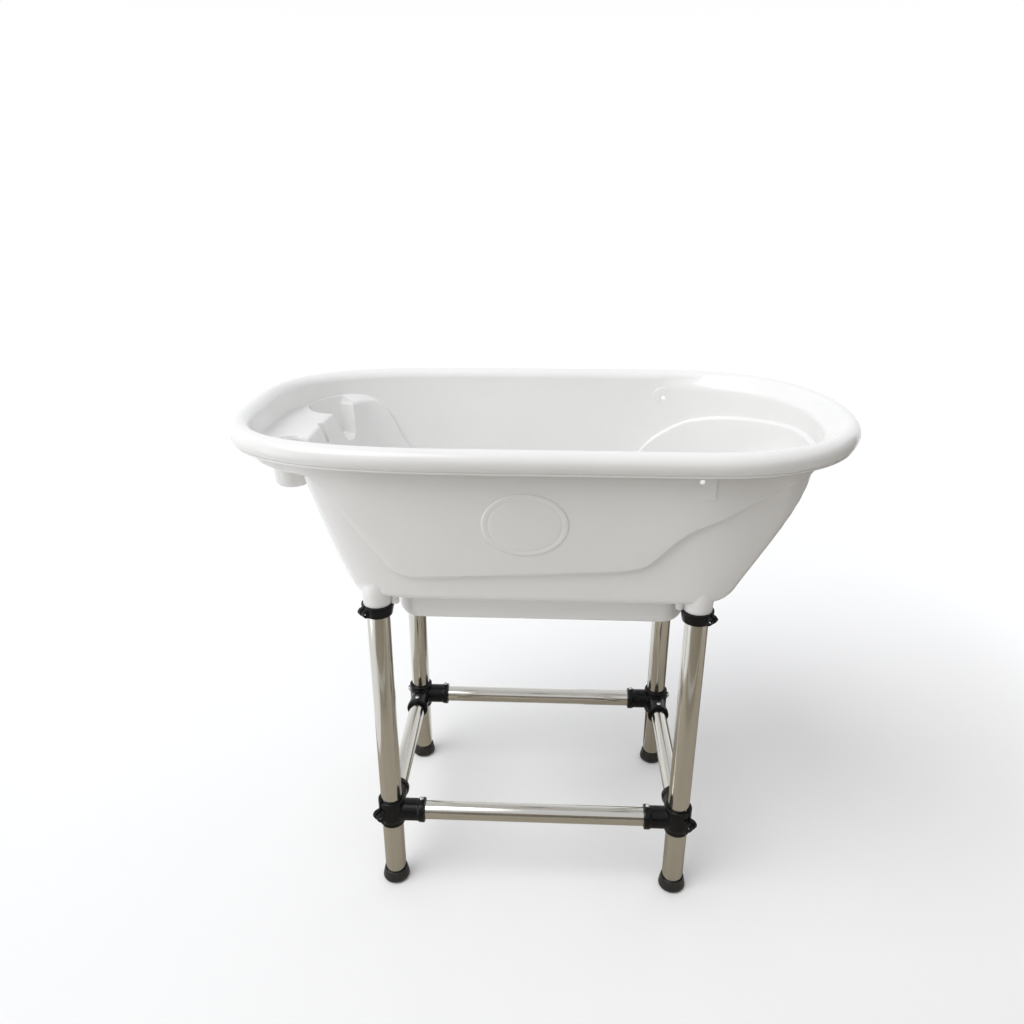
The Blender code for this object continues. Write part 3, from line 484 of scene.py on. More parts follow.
def socket_pieces():
    pieces = []
    for name, side_x, _, _ in CORNERS:
        x, y = leg_place(name)
        path = rounded([
            (0, SOCKET_TOP_Z, 0), (SOCKET_R - 0.004, SOCKET_TOP_Z, 0.006), (SOCKET_R + 0.0015, 0.567, 0.006),
            (SOCKET_R, 0.554, 0.006), (SOCKET_R, SOCKET_SHOULDER_Z, 0.0008),
            (SKIRT_R, SOCKET_SHOULDER_Z, 0.0003), (SKIRT_R, SKIRT_BOTTOM_Z, 0.0008), (0, SKIRT_BOTTOM_Z, 0),
        ], 5)
        socket = turned("socket_" + name, path)
        socket.location = (x, y, 0)
        gusset = rod("gusset_" + name, GUSSET_R, SOCKET_SHOULDER_Z, FLOOR_Z - WALL / 2, 0.001, 32)
        gusset.location = (x - side_x * GUSSET_REACH, y, 0)
        pieces += [socket, gusset]
    return pieces


def socket_cutters():
    pieces = []
    for name, _, _, turn in CORNERS:
        x, y = leg_place(name)
        bore = rod("bore_" + name, LEG_R + GAP, SKIRT_BOTTOM_Z - 0.01, LEG_TOP_Z + 0.001)
        bore.location = (x, y, 0)
        low = (-SOCKET_R - 0.002, -SLIT / 2, SKIRT_BOTTOM_Z - 0.01)
        slit = box("slit_" + name, low, (SOCKET_R + 0.002, SLIT / 2, SOCKET_SHOULDER_Z - 0.001))
        slit.location = (x, y, 0)
        slit.rotation_euler.z = math.radians(turn + 45)
        pieces += [bore, slit]
    return pieces


def wall_room(name, inset):
    profiles = []
    for plane in columns(48, 20):
        column = Column(plane)
        profiles.append([column.at(column.upper(z, inset), z) for z in HOLDER_ROOM])
    return link(name, loft(name, profiles, False))


def holder_bodies():
    bodies = []
    for name, x, y, radius, floor in HOLDERS:
        outer, low, high = radius + HOLDER_WALL, floor - HOLDER_WALL, SHELF_Z - WALL / 2
        narrow = outer - HOLDER_TAPER * (SHELF_Z - low)
        curve = min(0.006, narrow * 0.45)
        path = rounded([(0, high, 0), (outer, high, 0), (narrow, low, curve), (0, low, 0)], 6)
        body = turned("body_" + name, path)
        body.location = (x, y, 0)
        bodies.append(body)
    return bodies


def holder_hollows():
    hollows = []
    for name, x, y, radius, floor in HOLDERS:
        narrow = radius - HOLDER_TAPER * (SHELF_Z - floor)
        flare = 0.0022 if radius > 0.02 else 0.0015
        path = rounded([
            (0, HOLDER_MOUTH_Z, 0), (radius + flare * 2, HOLDER_MOUTH_Z, 0),
            (radius + flare, SHELF_Z + 0.0003, 0), (radius, SHELF_Z - flare * 1.5, flare * 1.4),
            (narrow, floor, min(0.005, narrow * 0.45)), (0, floor, 0),
        ], 6)
        hollow = turned("hollow_" + name, path)
        hollow.location = (x, y, 0)
        hollows.append(hollow)
    return hollows


def wall_frame(x, z, side, inset):
    """Place on a long side's upper wall, with Z along the outward normal and Y up the wall."""
    column = Column((x, 0.0, 1.0))
    y = column.upper(z, inset)
    outward = Vector((0, side, -DRAFT)).normalized()
    up = Vector((0, side * DRAFT, 1)).normalized()
    across = up.cross(outward)
    matrix = Matrix((across, up, outward)).transposed().to_4x4()
    matrix.translation = (x, side * y, z)
    return matrix


def tether_pads():
    """Low round-topped pads round the tether holes, which fade out downwards."""
    radius, tail, proud, base = TETHER_PAD
    outline = [(radius * math.cos(a), radius * math.sin(a)) for a in np.linspace(0, math.pi, 41)]
    profiles = []
    for px, py in outline + [(-radius, -tail), (radius, -tail)]:
        fade = 1 - max(-py, 0) / (tail * 0.8)
        profile = [(px, py, base)]
        for scale, share in ((1.0, 0.4), (0.94, 0.9), (0.88, 1.0)):
            height = 0.0006 * (1 - fade) - proud * share * fade
            profile.append((px * scale, py * scale if py > 0 else py, height))
        profiles.append(profile)
    pads = []
    for name, side in (("front", -1), ("back", 1)):
        pad = link("pad_" + name, loft("pad_" + name, profiles, False))
        pad.matrix_world = wall_frame(TETHER_X, TETHER_Z, side, WALL_INSET)
        pads.append(pad)
    return pads


def tether_holes():
    holes = []
    for name, side in (("front", -1), ("back", 1)):
        path = rounded([
            (0, 0.03, 0), (TETHER_HOLE_R, 0.03, 0), (TETHER_HOLE_R, 0.0, 0.0008),
            (TETHER_HOLE_R + 0.0022, -0.0022, 0), (TETHER_HOLE_R + 0.0022, -0.01, 0), (0, -0.01, 0),
        ], 3)
        hole = turned("tether_hole_" + name, path, steps=32)
        hole.matrix_world = wall_frame(TETHER_X, TETHER_Z, side, WALL_INSET)
        holes.append(hole)
    return holes


def oval_boss():
    """A plain oval pad on the outside of the front wall, with a shallow groove inside its edge."""
    path = rounded([
        (0, 0.0016, 0), (0.8, 0.0016, 0.02), (0.845, 0.0009, 0.02), (0.89, 0.0016, 0.02),
        (0.975, 0.0016, 0.03), (1.0, 0.0, 0), (1.0, -0.002, 0), (0, -0.002, 0),
    ], 4)
    oval = turned("oval", path, steps=128)
    place = wall_frame(OVAL_X, OVAL_Z, -1, WALL_INSET - WALL)
    oval.matrix_world = place @ Matrix.Diagonal((OVAL_HALF[0], OVAL_HALF[1], 1, 1))
    return oval


def build_shell_mesh():
    planes = columns()
    shell = link("shell_blank", loft("shell_blank", [shell_profile(p) for p in planes], True))
    space = link("basin_space", loft("basin_space", [space_profile(p) for p in planes], False))
    rooms = [wall_room("body_room", WALL_INSET - WALL / 2), wall_room("hollow_room", WALL_INSET + HOLDER_CLEARANCE)]
    bodies, hollows = holder_bodies(), holder_hollows()
    for body, hollow in zip(bodies, hollows):
        combine(body, [rooms[0]], "INTERSECT")
        combine(hollow, [rooms[1]], "INTERSECT")
    outside = socket_pieces() + bodies
    for piece in outside:
        combine(piece, [space], "DIFFERENCE")
    proud = tether_pads() + [oval_boss()]
    combine(shell, outside + proud, "UNION")
    hollows += socket_cutters() + tether_holes()
    combine(shell, hollows, "DIFFERENCE")
    mesh = baked(shell, "tub_shell_moulding")
    drop(outside + proud + hollows + rooms + [space])
    return shade(mesh, 38)


# ---- materials

class Nodes:
    """Short calls for building one procedural material round its Principled shader."""

    def __init__(self, name, roughness, metallic=0.0, **constants):
        self.material = bpy.data.materials.new(name)
        self.material.use_nodes = True
        self.tree = self.material.node_tree
        self.shader = self.tree.nodes["Principled BSDF"]
        self.fill(self.shader, Roughness=roughness, Metallic=metallic, **constants)
        self.place = self.add("ShaderNodeTexCoord").outputs["Object"]

    def add(self, kind, **settings):
        node = self.tree.nodes.new(kind)
        for key, value in settings.items():
            setattr(node, key, value)
        return node

    def wire(self, value, socket):
        if isinstance(value, bpy.types.NodeSocket):
            self.tree.links.new(value, socket)
        elif isinstance(value, tuple) and len(value) == 3 and socket.type == "RGBA":
            socket.default_value = (*value, 1.0)
        else:
            socket.default_value = value

    def fill(self, node, **values):
        for label, value in values.items():
            self.wire(value, node.inputs[label.replace("_", " ")])
        return node

    def stretched(self, scale):
        return self.fill(self.add("ShaderNodeMapping"), Vector=self.place, Scale=scale).outputs["Vector"]

    def noise(self, scale, detail=3.0, stretch=None, distortion=0.0):
        node = self.add("ShaderNodeTexNoise")
        place = self.stretched(stretch) if stretch else self.place
        return self.fill(node, Vector=place, Scale=scale, Detail=detail, Distortion=distortion).outputs["Fac"]

    def rings(self, scale, distortion=2.0):
        node = self.add("ShaderNodeTexWave", wave_type="RINGS", rings_direction="Z")
        return self.fill(node, Vector=self.place, Scale=scale, Distortion=distortion, Detail=3.0).outputs["Fac"]

    def spread(self, value, low, high, to_low=0.0, to_high=1.0):
        node = self.add("ShaderNodeMapRange")
        self.fill(node, Value=value, From_Min=low, From_Max=high, To_Min=to_low, To_Max=to_high)
        return node.outputs["Result"]

    def plus(self, a, b, operation="ADD"):
        node = self.add("ShaderNodeMath", operation=operation)
        self.wire(a, node.inputs[0])
        self.wire(b, node.inputs[1])
        return node.outputs[0]

    def times(self, a, b):
        return self.plus(a, b, "MULTIPLY")

    def tint(self, share, a, b):
        node = self.add("ShaderNodeMix", data_type="RGBA")
        self.wire(share, node.inputs[0])
        self.wire(a, node.inputs[6])
        self.wire(b, node.inputs[7])
        return node.outputs[2]

    def upward(self, vector, low, high):
        split = self.add("ShaderNodeSeparateXYZ")
        self.wire(vector, split.inputs[0])
        return self.spread(split.outputs["Z"], low, high)

    def surface(self, label):
        return self.add("ShaderNodeNewGeometry").outputs[label]

    def edges(self, low, high):
        return self.spread(self.surface("Pointiness"), low, high)

    def bump(self, height, distance, strength=1.0, onto=None):
        node = self.fill(self.add("ShaderNodeBump"), Height=height, Distance=distance, Strength=strength)
        if onto is not None:
            self.wire(onto, node.inputs["Normal"])
        return node.outputs["Normal"]

    def finish(self, color, roughness, normal):
        self.fill(self.shader, Base_Color=color, Roughness=roughness, Normal=normal)
        return self.material


def tub_plastic():
    """Gloss off-white plastic: faint moulding waves and orange peel, scuffs low in the basin, and painted shade
    darkening its concave corners.
    """
    m = Nodes("tub_plastic", 0.2, Coat_Weight=0.25, Coat_Roughness=0.1)
    clouds = m.noise(3.5, 4.0)
    mottle = m.noise(70.0, 3.0)
    color = m.tint(m.spread(clouds, 0.35, 0.65), (0.815, 0.812, 0.8), (0.85, 0.848, 0.838))
    color = m.tint(m.spread(mottle, 0.3, 0.7, 0.0, 0.1), color, (0.765, 0.758, 0.735))
    scuff_lines = m.spread(m.noise(9.0, 6.0, (1.0, 14.0, 6.0), 0.4), 0.56, 0.7)
    low_down = m.upward(m.place, 0.64, 0.56)
    inside = m.upward(m.surface("Normal"), 0.02, 0.10)
    scuffs = m.times(m.times(scuff_lines, low_down), inside)
    color = m.tint(m.times(scuffs, 0.16), color, (0.66, 0.655, 0.63))
    # Painted shade: concave corners (low pointiness) are darkened towards a warm grey, standing in for the shade
    # that falls into them.
    painted_corner_shade = m.edges(0.475, 0.4)
    color = m.tint(m.times(painted_corner_shade, 0.22), color, (0.58, 0.565, 0.52))
    roughness = m.spread(m.noise(14.0, 5.0), 0.3, 0.7, 0.17, 0.27)
    roughness = m.plus(roughness, m.times(scuffs, 0.14))
    waves = m.bump(m.noise(16.0, 1.0), 0.00035)
    peel = m.bump(m.noise(850.0, 2.0), 0.000012, onto=waves)
    scratch = m.bump(scuffs, 0.00003, onto=peel)
    return m.finish(color, roughness, scratch)


def polished_tube():
    """Bright steel tube along its own Z: fine draw lines, smudges and a few dull spots."""
    m = Nodes("polished_tube", 0.14, 1.0, Anisotropic=0.3)
    lines = m.noise(1.0, 6.0, (420.0, 420.0, 3.5))
    broad = m.noise(1.0, 3.0, (90.0, 90.0, 1.3))
    smudge = m.noise(11.0, 5.0)
    color = m.tint(m.spread(broad, 0.3, 0.7), (0.62, 0.6, 0.55), (0.71, 0.695, 0.65))
    color = m.tint(m.spread(smudge, 0.58, 0.78, 0.0, 0.25), color, (0.54, 0.515, 0.455))
    roughness = m.spread(lines, 0.25, 0.75, 0.09, 0.19)
    roughness = m.plus(roughness, m.spread(smudge, 0.55, 0.75, 0.0, 0.08))
    normal = m.bump(lines, 0.000016)
    return m.finish(color, roughness, m.bump(broad, 0.00008, onto=normal))


def clamp_plastic():
    """Gloss black nylon with a slight grain, greyed and dulled along its edges."""
    m = Nodes("clamp_plastic", 0.2, Specular_IOR_Level=0.18, Coat_Weight=0.06, Coat_Roughness=0.08)
    grain = m.noise(520.0, 3.0)
    patches = m.noise(40.0, 4.0)
    rubbed = m.times(m.edges(0.53, 0.6), m.spread(patches, 0.4, 0.62))
    color = m.tint(m.spread(patches, 0.3, 0.7), (0.004, 0.004, 0.0045), (0.008, 0.008, 0.009))
    color = m.tint(m.times(rubbed, 0.4), color, (0.055, 0.054, 0.052))
    roughness = m.spread(patches, 0.3, 0.7, 0.14, 0.24)
    roughness = m.plus(roughness, m.times(rubbed, 0.22))
    normal = m.bump(m.noise(60.0, 2.0), 0.00008)
    return m.finish(color, roughness, m.bump(grain, 0.000012, onto=normal))


def foot_rubber():
    """Smooth black rubber, dusty where it meets the floor."""
    m = Nodes("foot_rubber", 0.3)
    patches = m.noise(75.0, 4.0)
    low_down = m.times(m.upward(m.place, 0.0085, 0.0005), m.spread(patches, 0.25, 0.7))
    color = m.tint(m.spread(patches, 0.3, 0.7), (0.01, 0.01, 0.011), (0.02, 0.0195, 0.019))
    color = m.tint(m.times(low_down, 0.55), color, (0.17, 0.16, 0.145))
    roughness = m.plus(m.spread(patches, 0.3, 0.7, 0.24, 0.36), m.times(low_down, 0.35))
    normal = m.bump(m.noise(700.0, 2.0), 0.00002)
    return m.finish(color, roughness, normal)


def seal_rubber():
    """Dull black rubber with a fine grain and a trace of soap film."""
    m = Nodes("seal_rubber", 0.45)
    film = m.spread(m.noise(45.0, 5.0), 0.5, 0.72)
    color = m.tint(m.times(film, 0.35), (0.016, 0.016, 0.017), (0.085, 0.085, 0.083))
    roughness = m.spread(m.noise(120.0, 3.0), 0.3, 0.7, 0.36, 0.56)
    return m.finish(color, roughness, m.bump(m.noise(900.0, 2.0), 0.00002))


def screw_steel():
    """Zinc-plated screw steel with turning marks."""
    m = Nodes("screw_steel", 0.25, 1.0)
    rings = m.rings(260.0)
    stain = m.noise(300.0, 3.0)
    color = m.tint(m.spread(stain, 0.45, 0.7), (0.78, 0.78, 0.77), (0.62, 0.6, 0.55))
    roughness = m.spread(stain, 0.3, 0.7, 0.16, 0.34)
    return m.finish(color, roughness, m.bump(rings, 0.00002))


def drain_steel():
    """Brushed stainless waste, with rings round its axis and dried water spots."""
    m = Nodes("drain_steel", 0.25, 1.0, Anisotropic=0.4)
    rings = m.rings(420.0, 1.0)
    spots = m.spread(m.noise(190.0, 2.0), 0.62, 0.7)
    color = m.tint(m.spread(m.noise(60.0), 0.3, 0.7), (0.66, 0.66, 0.65), (0.76, 0.755, 0.745))
    color = m.tint(m.times(spots, 0.3), color, (0.5, 0.49, 0.46))
    roughness = m.plus(m.spread(rings, 0.0, 1.0, 0.17, 0.27), m.times(spots, 0.2))
    return m.finish(color, roughness, m.bump(rings, 0.000018))


def drain_plastic():
    """Matte grey pipe plastic, grained, paler along its edges."""
    m = Nodes("drain_plastic", 0.45)
    grain = m.noise(420.0, 3.0)
    patches = m.noise(50.0, 4.0)
    color = m.tint(m.spread(patches, 0.3, 0.7), (0.3, 0.31, 0.32), (0.37, 0.375, 0.38))
    color = m.tint(m.times(m.edges(0.52, 0.58), 0.4), color, (0.5, 0.5, 0.5))
    roughness = m.spread(patches, 0.3, 0.7, 0.38, 0.55)
    return m.finish(color, roughness, m.bump(grain, 0.00004))


def floor_paint():
    """Pale studio floor."""
    m = Nodes("studio_floor", 0.6, Specular_IOR_Level=0.0)
    clouds = m.noise(1.3, 3.0)
    color = m.tint(m.spread(clouds, 0.3, 0.7), (0.9, 0.9, 0.9), (0.92, 0.92, 0.92))
    return m.finish(color, 0.6, m.bump(m.noise(180.0), 0.00005))


# ---- putting pieces on the frame

def put(name, mesh, slot, body, *nodes, matrix=None):
    """Links a finished piece, gives it its slot's look, and rides it in place of its CAD nodes."""
    obj = link(name, mesh)
    if matrix is not None:
        obj.matrix_world = matrix
    mesh.materials.clear()
    mesh.materials.append(LOOKS[slot])
    mesh.polygons.foreach_set("material_index", [0] * len(mesh.polygons))
    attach(obj, body)
    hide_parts(*nodes)
    return obj


def middle_of(node):
    low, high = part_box(node)
    return (low + high) / 2


def tube_mesh(name, outer, inner, length, edge=0.0005):
    """A tube along Z, centred on the origin, with eased ends."""
    half = length / 2
    path = rounded([(outer, half, edge), (outer, -half, edge), (inner, -half, edge), (inner, half, edge)], 3, True)
    return shade(lathe(name, path, closed=True), 50)


def at_place(place, turn=0.0):
    return Matrix.Translation(place) @ Matrix.Rotation(math.radians(turn), 4, "Z")


# ---- clamps

COLLAR_R = (0.0218, 0.0245)
COLLAR_BAND = 0.005
COLLAR_HALF = 0.0092
COLLAR_BORE = 0.0203
COLLAR_EAR = (0.0212, 0.0308, 0.008, 0.0065)
CONNECTOR_EAR = (0.0195, 0.0335, 0.0085, 0.008)
COLLAR_SCREW_REACH = 0.0272
CONNECTOR_SCREW_REACH = 0.0285
EAR_GAP = 0.003
CONNECTOR_R = 0.0222
CONNECTOR_HALF = 0.0246
STUB_R = 0.0183
STUB_BORE = 0.0153
STUB_LENGTH = 0.056
STUB_LIP_R = 0.0203
STUB_LIP = 0.009
STUB_FLOOR = 0.0216
BOSS_R = 0.0052
BOSS_TOP = 0.0226
SET_SCREW_AT = 0.0505
SHANK_R = 0.0017
SHANK_HOLE_R = 0.0021
HEAD_R = 0.0037
HEAD_HEIGHT = 0.0024
CLAMP_VOXEL = 0.00065


def ear_shape(name, inner, outer, half_width, half_height):
    """Clamp ears as one rounded tongue along +X."""
    bm = bmesh.new()
    corner = half_height * 0.9
    outline = [(inner, -half_height), (outer - corner, -half_height)]
    for i in range(1, 12):
        turn = math.pi * (i / 12 - 0.5)
        outline.append((outer - corner + corner * math.cos(turn), half_height * math.sin(turn)))
    outline += [(outer - corner, half_height), (inner, half_height)]
    lower = [bm.verts.new((x, -half_width, z)) for x, z in outline]
    upper = [bm.verts.new((x, half_width, z)) for x, z in outline]
    bm.faces.new(lower)
    bm.faces.new(upper[::-1])
    for i in range(len(outline)):
        j = (i + 1) % len(outline)
        bm.faces.new((lower[j], lower[i], upper[i], upper[j]))
    bmesh.ops.recalc_face_normals(bm, faces=bm.faces)
    mesh = bpy.data.meshes.new(name)
    bm.to_mesh(mesh)
    bm.free()
    return link(name, mesh)


def collar_mesh():
    half = COLLAR_HALF
    path = [
        (COLLAR_R[1], half), (COLLAR_R[1], half - COLLAR_BAND), (COLLAR_R[0], -half),
        (COLLAR_BORE, -half), (COLLAR_BORE, half),
    ]
    collar = turned("collar_blank", path, closed=True)
    inner, outer, half_width, ear_half = COLLAR_EAR
    ears = ear_shape("collar_ears", inner, outer, half_width, ear_half)
    slot = box("collar_slot", (0.005, -EAR_GAP / 2, -0.03), (outer + 0.005, EAR_GAP / 2, 0.03))
    hole = rod("collar_hole", SHANK_HOLE_R, -0.02, 0.02, steps=24)
    turn_to(hole, (0, 1, 0), (COLLAR_SCREW_REACH, 0, 0))
    combine(collar, [ears], "UNION")
    combine(collar, [slot, hole], "DIFFERENCE")
    mesh = baked(collar, "collar_moulding")
    drop([ears, slot, hole])
    return moulded(mesh, 0.0005, 4)


def connector_mesh():
    """Three-way clamp: a stepped ring on the leg, flared stubs along +X and +Y, and ears on the far corner."""
    path = rounded([
        (0, CONNECTOR_HALF, 0), (CONNECTOR_R, CONNECTOR_HALF, 0.001), (CONNECTOR_R, -0.0135, 0.001),
        (0.0207, -0.015, 0.001), (0.0207, -CONNECTOR_HALF, 0.001), (0, -CONNECTOR_HALF, 0),
    ], 3)
    body = turned("connector_blank", path)
    joins, cuts = [], []
    for label, axis in (("x", Vector((1, 0, 0))), ("y", Vector((0, 1, 0)))):
        lip_end = STUB_LENGTH + 0.0002
        stub_path = rounded([
            (0, lip_end, 0), (STUB_LIP_R, lip_end, 0.0012), (STUB_LIP_R, STUB_LENGTH - STUB_LIP, 0.002),
            (STUB_R, STUB_LENGTH - STUB_LIP - 0.002, 0.002), (STUB_R, 0.0, 0), (0, 0.0, 0),
        ], 4)
        stub = turned("stub_" + label, stub_path)
        boss_path = rounded([
            (0, BOSS_TOP, 0), (BOSS_R - 0.0008, BOSS_TOP, 0.0006), (BOSS_R + 0.0006, STUB_R - 0.003, 0),
            (0, STUB_R - 0.003, 0),
        ], 3)
        boss = turned("boss_" + label, boss_path, steps=32)
        boss.location = axis * SET_SCREW_AT
        bore = rod("stub_bore_" + label, STUB_BORE, STUB_FLOOR, STUB_LENGTH + 0.01)
        hole = rod("boss_hole_" + label, SHANK_HOLE_R, 0.005, BOSS_TOP + 0.01, steps=24)
        hole.location = axis * SET_SCREW_AT
        for piece in (stub, bore):
            turn_to(piece, axis)
        joins += [stub, boss]
        cuts += [bore, hole]
    inner, outer, half_width, ear_half = CONNECTOR_EAR
    ears = ear_shape("connector_ears", inner, outer, half_width, ear_half)
    slot = box("connector_slot", (0.005, -EAR_GAP / 2, -0.04), (outer + 0.005, EAR_GAP / 2, 0.04))
    turn = math.radians(EAR_TURN)
    for piece in (ears, slot):
        piece.rotation_euler.z = turn
    corner = Vector((math.cos(turn), math.sin(turn), 0))
    clamp_hole = rod("clamp_hole", SHANK_HOLE_R, -0.02, 0.02, steps=24)
    turn_to(clamp_hole, (-corner.y, corner.x, 0), corner * CONNECTOR_SCREW_REACH)
    leg_bore = rod("connector_leg_bore", LEG_R + GAP, -0.05, 0.05)
    combine(body, joins + [ears], "UNION")
    cuts += [leg_bore, slot, clamp_hole]
    combine(body, cuts, "DIFFERENCE")
    mesh = baked(body, "connector_moulding")
    drop(joins + cuts + [ears])
    return moulded(mesh, CLAMP_VOXEL, 4)


def screw_mesh(name, length):
    """Pan-head screw with a cross recess. Its seat is at z = 0, its head above and its shank below."""
    path = rounded([
        (0, HEAD_HEIGHT, 0), (HEAD_R * 0.8, HEAD_HEIGHT, 0.0009), (HEAD_R, 0.0006, 0.0004), (HEAD_R, 0, 0.0001),
        (SHANK_R, 0, 0), (SHANK_R, -length, 0.0003), (0, -length, 0),
    ], 4)
    screw = turned(name + "_blank", path, steps=40)
    recess = []
    for i in range(2):
        arm = box("recess_%d" % i, (-0.0021, -0.00042, HEAD_HEIGHT - 0.0013), (0.0021, 0.00042, HEAD_HEIGHT + 0.001))
        arm.rotation_euler.z = math.pi / 2 * i
        recess.append(arm)
    combine(screw, recess, "DIFFERENCE")
    mesh = baked(screw, name)
    drop(recess)
    return shade(mesh, 40)


def clamp_screw_matrix(place, turn, distance, half_width, side_x):
    angle = math.radians(turn + EAR_TURN)
    outward = Vector((math.cos(angle), math.sin(angle), 0))
    across = Vector((-outward.y, outward.x, 0))
    if across.x * side_x < 0:
        across = -across
    tilt = Vector((0, 0, 1)).rotation_difference(across).to_matrix().to_4x4()
    spot = Vector(place) + outward * distance + across * (half_width + GAP)
    return Matrix.Translation(spot) @ tilt @ Matrix.Rotation(0.5, 4, "Z")


# ---- stand

def foot_mesh():
    low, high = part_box("foot_front_left")
    flare, top_r, height = (high.x - low.x) / 2, 0.0195, high.z
    path = rounded([
        (top_r, height, 0.0008), (top_r + 0.0004, height - 0.003, 0.002), (flare, 0.0072, 0.003),
        (flare, 0.0036, 0.003), (flare - 0.0036, 0, 0.002), (0, 0, 0), (0, 0.005, 0),
        (LEG_R + GAP, 0.005, 0), (LEG_R + GAP, height, 0.0006),
    ], 5, True)
    return shade(lathe("foot_moulding", path, closed=True), 45)


def build_stand():
    low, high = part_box("leg_front_left")
    leg = tube_mesh("leg_tube", LEG_R, LEG_BORE, high.z - low.z)
    foot, collar, connector = foot_mesh(), collar_mesh(), connector_mesh()
    collar_screw = screw_mesh("collar_screw_steel", 2 * COLLAR_EAR[2] - 0.001)
    clamp_screw = screw_mesh("connector_screw_steel", 2 * CONNECTOR_EAR[2] - 0.001)
    set_screw = screw_mesh("set_screw_steel", BOSS_TOP - RAIL_R - 2 * GAP)
    collar_low, collar_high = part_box("collar_front_left")
    collar_z, brace_z = (collar_low.z + collar_high.z) / 2, middle_of("rail_front").z
    for i, (name, side_x, side_y, turn) in enumerate(CORNERS):
        x, y = leg_place(name)
        ring, clamp = (x, y, collar_z), (x, y, brace_z)
        collar_spot = clamp_screw_matrix(ring, turn, COLLAR_SCREW_REACH, COLLAR_EAR[2], side_x)
        clamp_spot = clamp_screw_matrix(clamp, turn, CONNECTOR_SCREW_REACH, CONNECTOR_EAR[2], side_x)
        pieces = [
            ("leg_tube_", leg, "polished_tube", "root", "leg_", at_place((x, y, (low.z + high.z) / 2), 71 * i)),
            ("foot_ferrule_", foot, "foot_rubber", "root", "foot_", at_place((x, y, 0))),
            ("collar_ring_", collar, "clamp_plastic", "root", "collar_", at_place(ring, turn + EAR_TURN)),
            ("collar_bolt_", collar_screw, "screw_steel", "root", "collar_screw_", collar_spot),
            ("connector_clamp_", connector, "clamp_plastic", "brace_frame", "connector_", at_place(clamp, turn)),
            ("connector_bolt_", clamp_screw, "screw_steel", "brace_frame", "connector_screw_", clamp_spot),
        ]
        inward = (("long_", Vector((-side_x, 0, 0))), ("short_", Vector((0, -side_y, 0))))
        for j, (label, direction) in enumerate(inward):
            spot = Vector(clamp) + Vector((0, 0, BOSS_TOP + GAP)) + direction * SET_SCREW_AT
            pieces.append(("rail_bolt_" + label, set_screw, "screw_steel", "brace_frame", "rail_screw_" + label,
                           at_place(spot, 25 + 40 * i + 15 * j)))
        for piece, mesh, slot, body, node, matrix in pieces:
            put(piece + name, mesh, slot, body, node + name, matrix=matrix)
    build_rails()


def build_rails():
    for label, axis in (("long", Vector((1, 0, 0))), ("short", Vector((0, 1, 0)))):
        sides = ("front", "back") if label == "long" else ("left", "right")
        low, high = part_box("rail_" + sides[0])
        length = (high - low).dot(axis)
        mesh = tube_mesh("rail_tube_" + label, RAIL_R, RAIL_BORE, length)
        tilt = Vector((0, 0, 1)).rotation_difference(axis).to_matrix().to_4x4()
        for i, side in enumerate(sides):
            spin = Matrix.Rotation(1.1 + 2.3 * i, 4, "Z")
            matrix = Matrix.Translation(middle_of("rail_" + side)) @ tilt @ spin
            put("rail_tube_" + side, mesh, "polished_tube", "brace_frame", "rail_" + side, matrix=matrix)


# ---- drain

DRAIN_FLOOR_Z = SUMP_Z - SUMP_FALL
FLANGE_TOP_Z = DRAIN_FLOOR_Z + 0.003
FLANGE_R = 0.036
FLANGE_BODY_R = 0.0235
FLANGE_BOTTOM_Z = 0.47
FLANGE_OUTLET_R = 0.019
THROAT_R = 0.0205
LEDGE_Z = 0.496
LEDGE_R = 0.016
LEDGE_THICK = 0.0025
NUT_BORE = FLANGE_BODY_R + GAP
GASKET_R = 0.034
GASKET_TOP_Z = DRAIN_FLOOR_Z - WALL - GAP
GASKET_BOTTOM_Z = GASKET_TOP_Z - 0.003
NUT_R = 0.032
NUT_TOP_Z = GASKET_BOTTOM_Z - GAP
NUT_BOTTOM_Z = NUT_TOP_Z - 0.008
NUT_LUGS = 6
NUT_LUG = (0.0305, 0.0363, 0.003)
NUT_RIB = (0.031, 0.0327, 0.0006)
SPIGOT_CUP_R = 0.0275
SPIGOT_TOP_Z = 0.484
SPIGOT_SEAT_Z = FLANGE_BOTTOM_Z - 0.0035
SPIGOT_BOTTOM_Z = 0.436
SPIGOT_R = 0.012
SPIGOT_BORE = 0.01
BARB_R = 0.0145
BARB_PITCH = 0.0085
GRIP_PITCH = 0.0034
STRAINER_R = THROAT_R - 0.0005
STRAINER_THICK = 0.0015
STRAINER_HEIGHT = 0.0035
STRAINER_HOLES = 8
STRAINER_HOLE_R = 0.0028
STRAINER_CIRCLE_R = 0.0115
PLUG_BOTTOM_Z = LEDGE_Z + 0.006
PLUG_TAPER_R = (0.019, 0.0201)
KNOB_R = 0.0072
KNOB_HEIGHT = 0.0125
KNOB_NECK_R = 0.0042


def flange_mesh():
    path = rounded([
        (FLANGE_R - 0.0035, FLANGE_TOP_Z, 0.003), (FLANGE_R, DRAIN_FLOOR_Z + 0.001, 0.001),
        (FLANGE_R, DRAIN_FLOOR_Z + GAP, 0.0003), (FLANGE_BODY_R, DRAIN_FLOOR_Z + GAP, 0.0005),
        (FLANGE_BODY_R, FLANGE_BOTTOM_Z, 0.0005), (FLANGE_OUTLET_R, FLANGE_BOTTOM_Z, 0.0005),
        (FLANGE_OUTLET_R, LEDGE_Z - LEDGE_THICK, 0.0004), (LEDGE_R, LEDGE_Z - LEDGE_THICK, 0.0006),
        (LEDGE_R, LEDGE_Z, 0.0006), (THROAT_R, LEDGE_Z, 0.0005), (THROAT_R, DRAIN_FLOOR_Z, 0.0012),
        (THROAT_R + 0.0035, FLANGE_TOP_Z, 0.0025),
    ], 5, True)
    return shade(lathe("drain_flange_steel", path, closed=True, steps=96), 40)


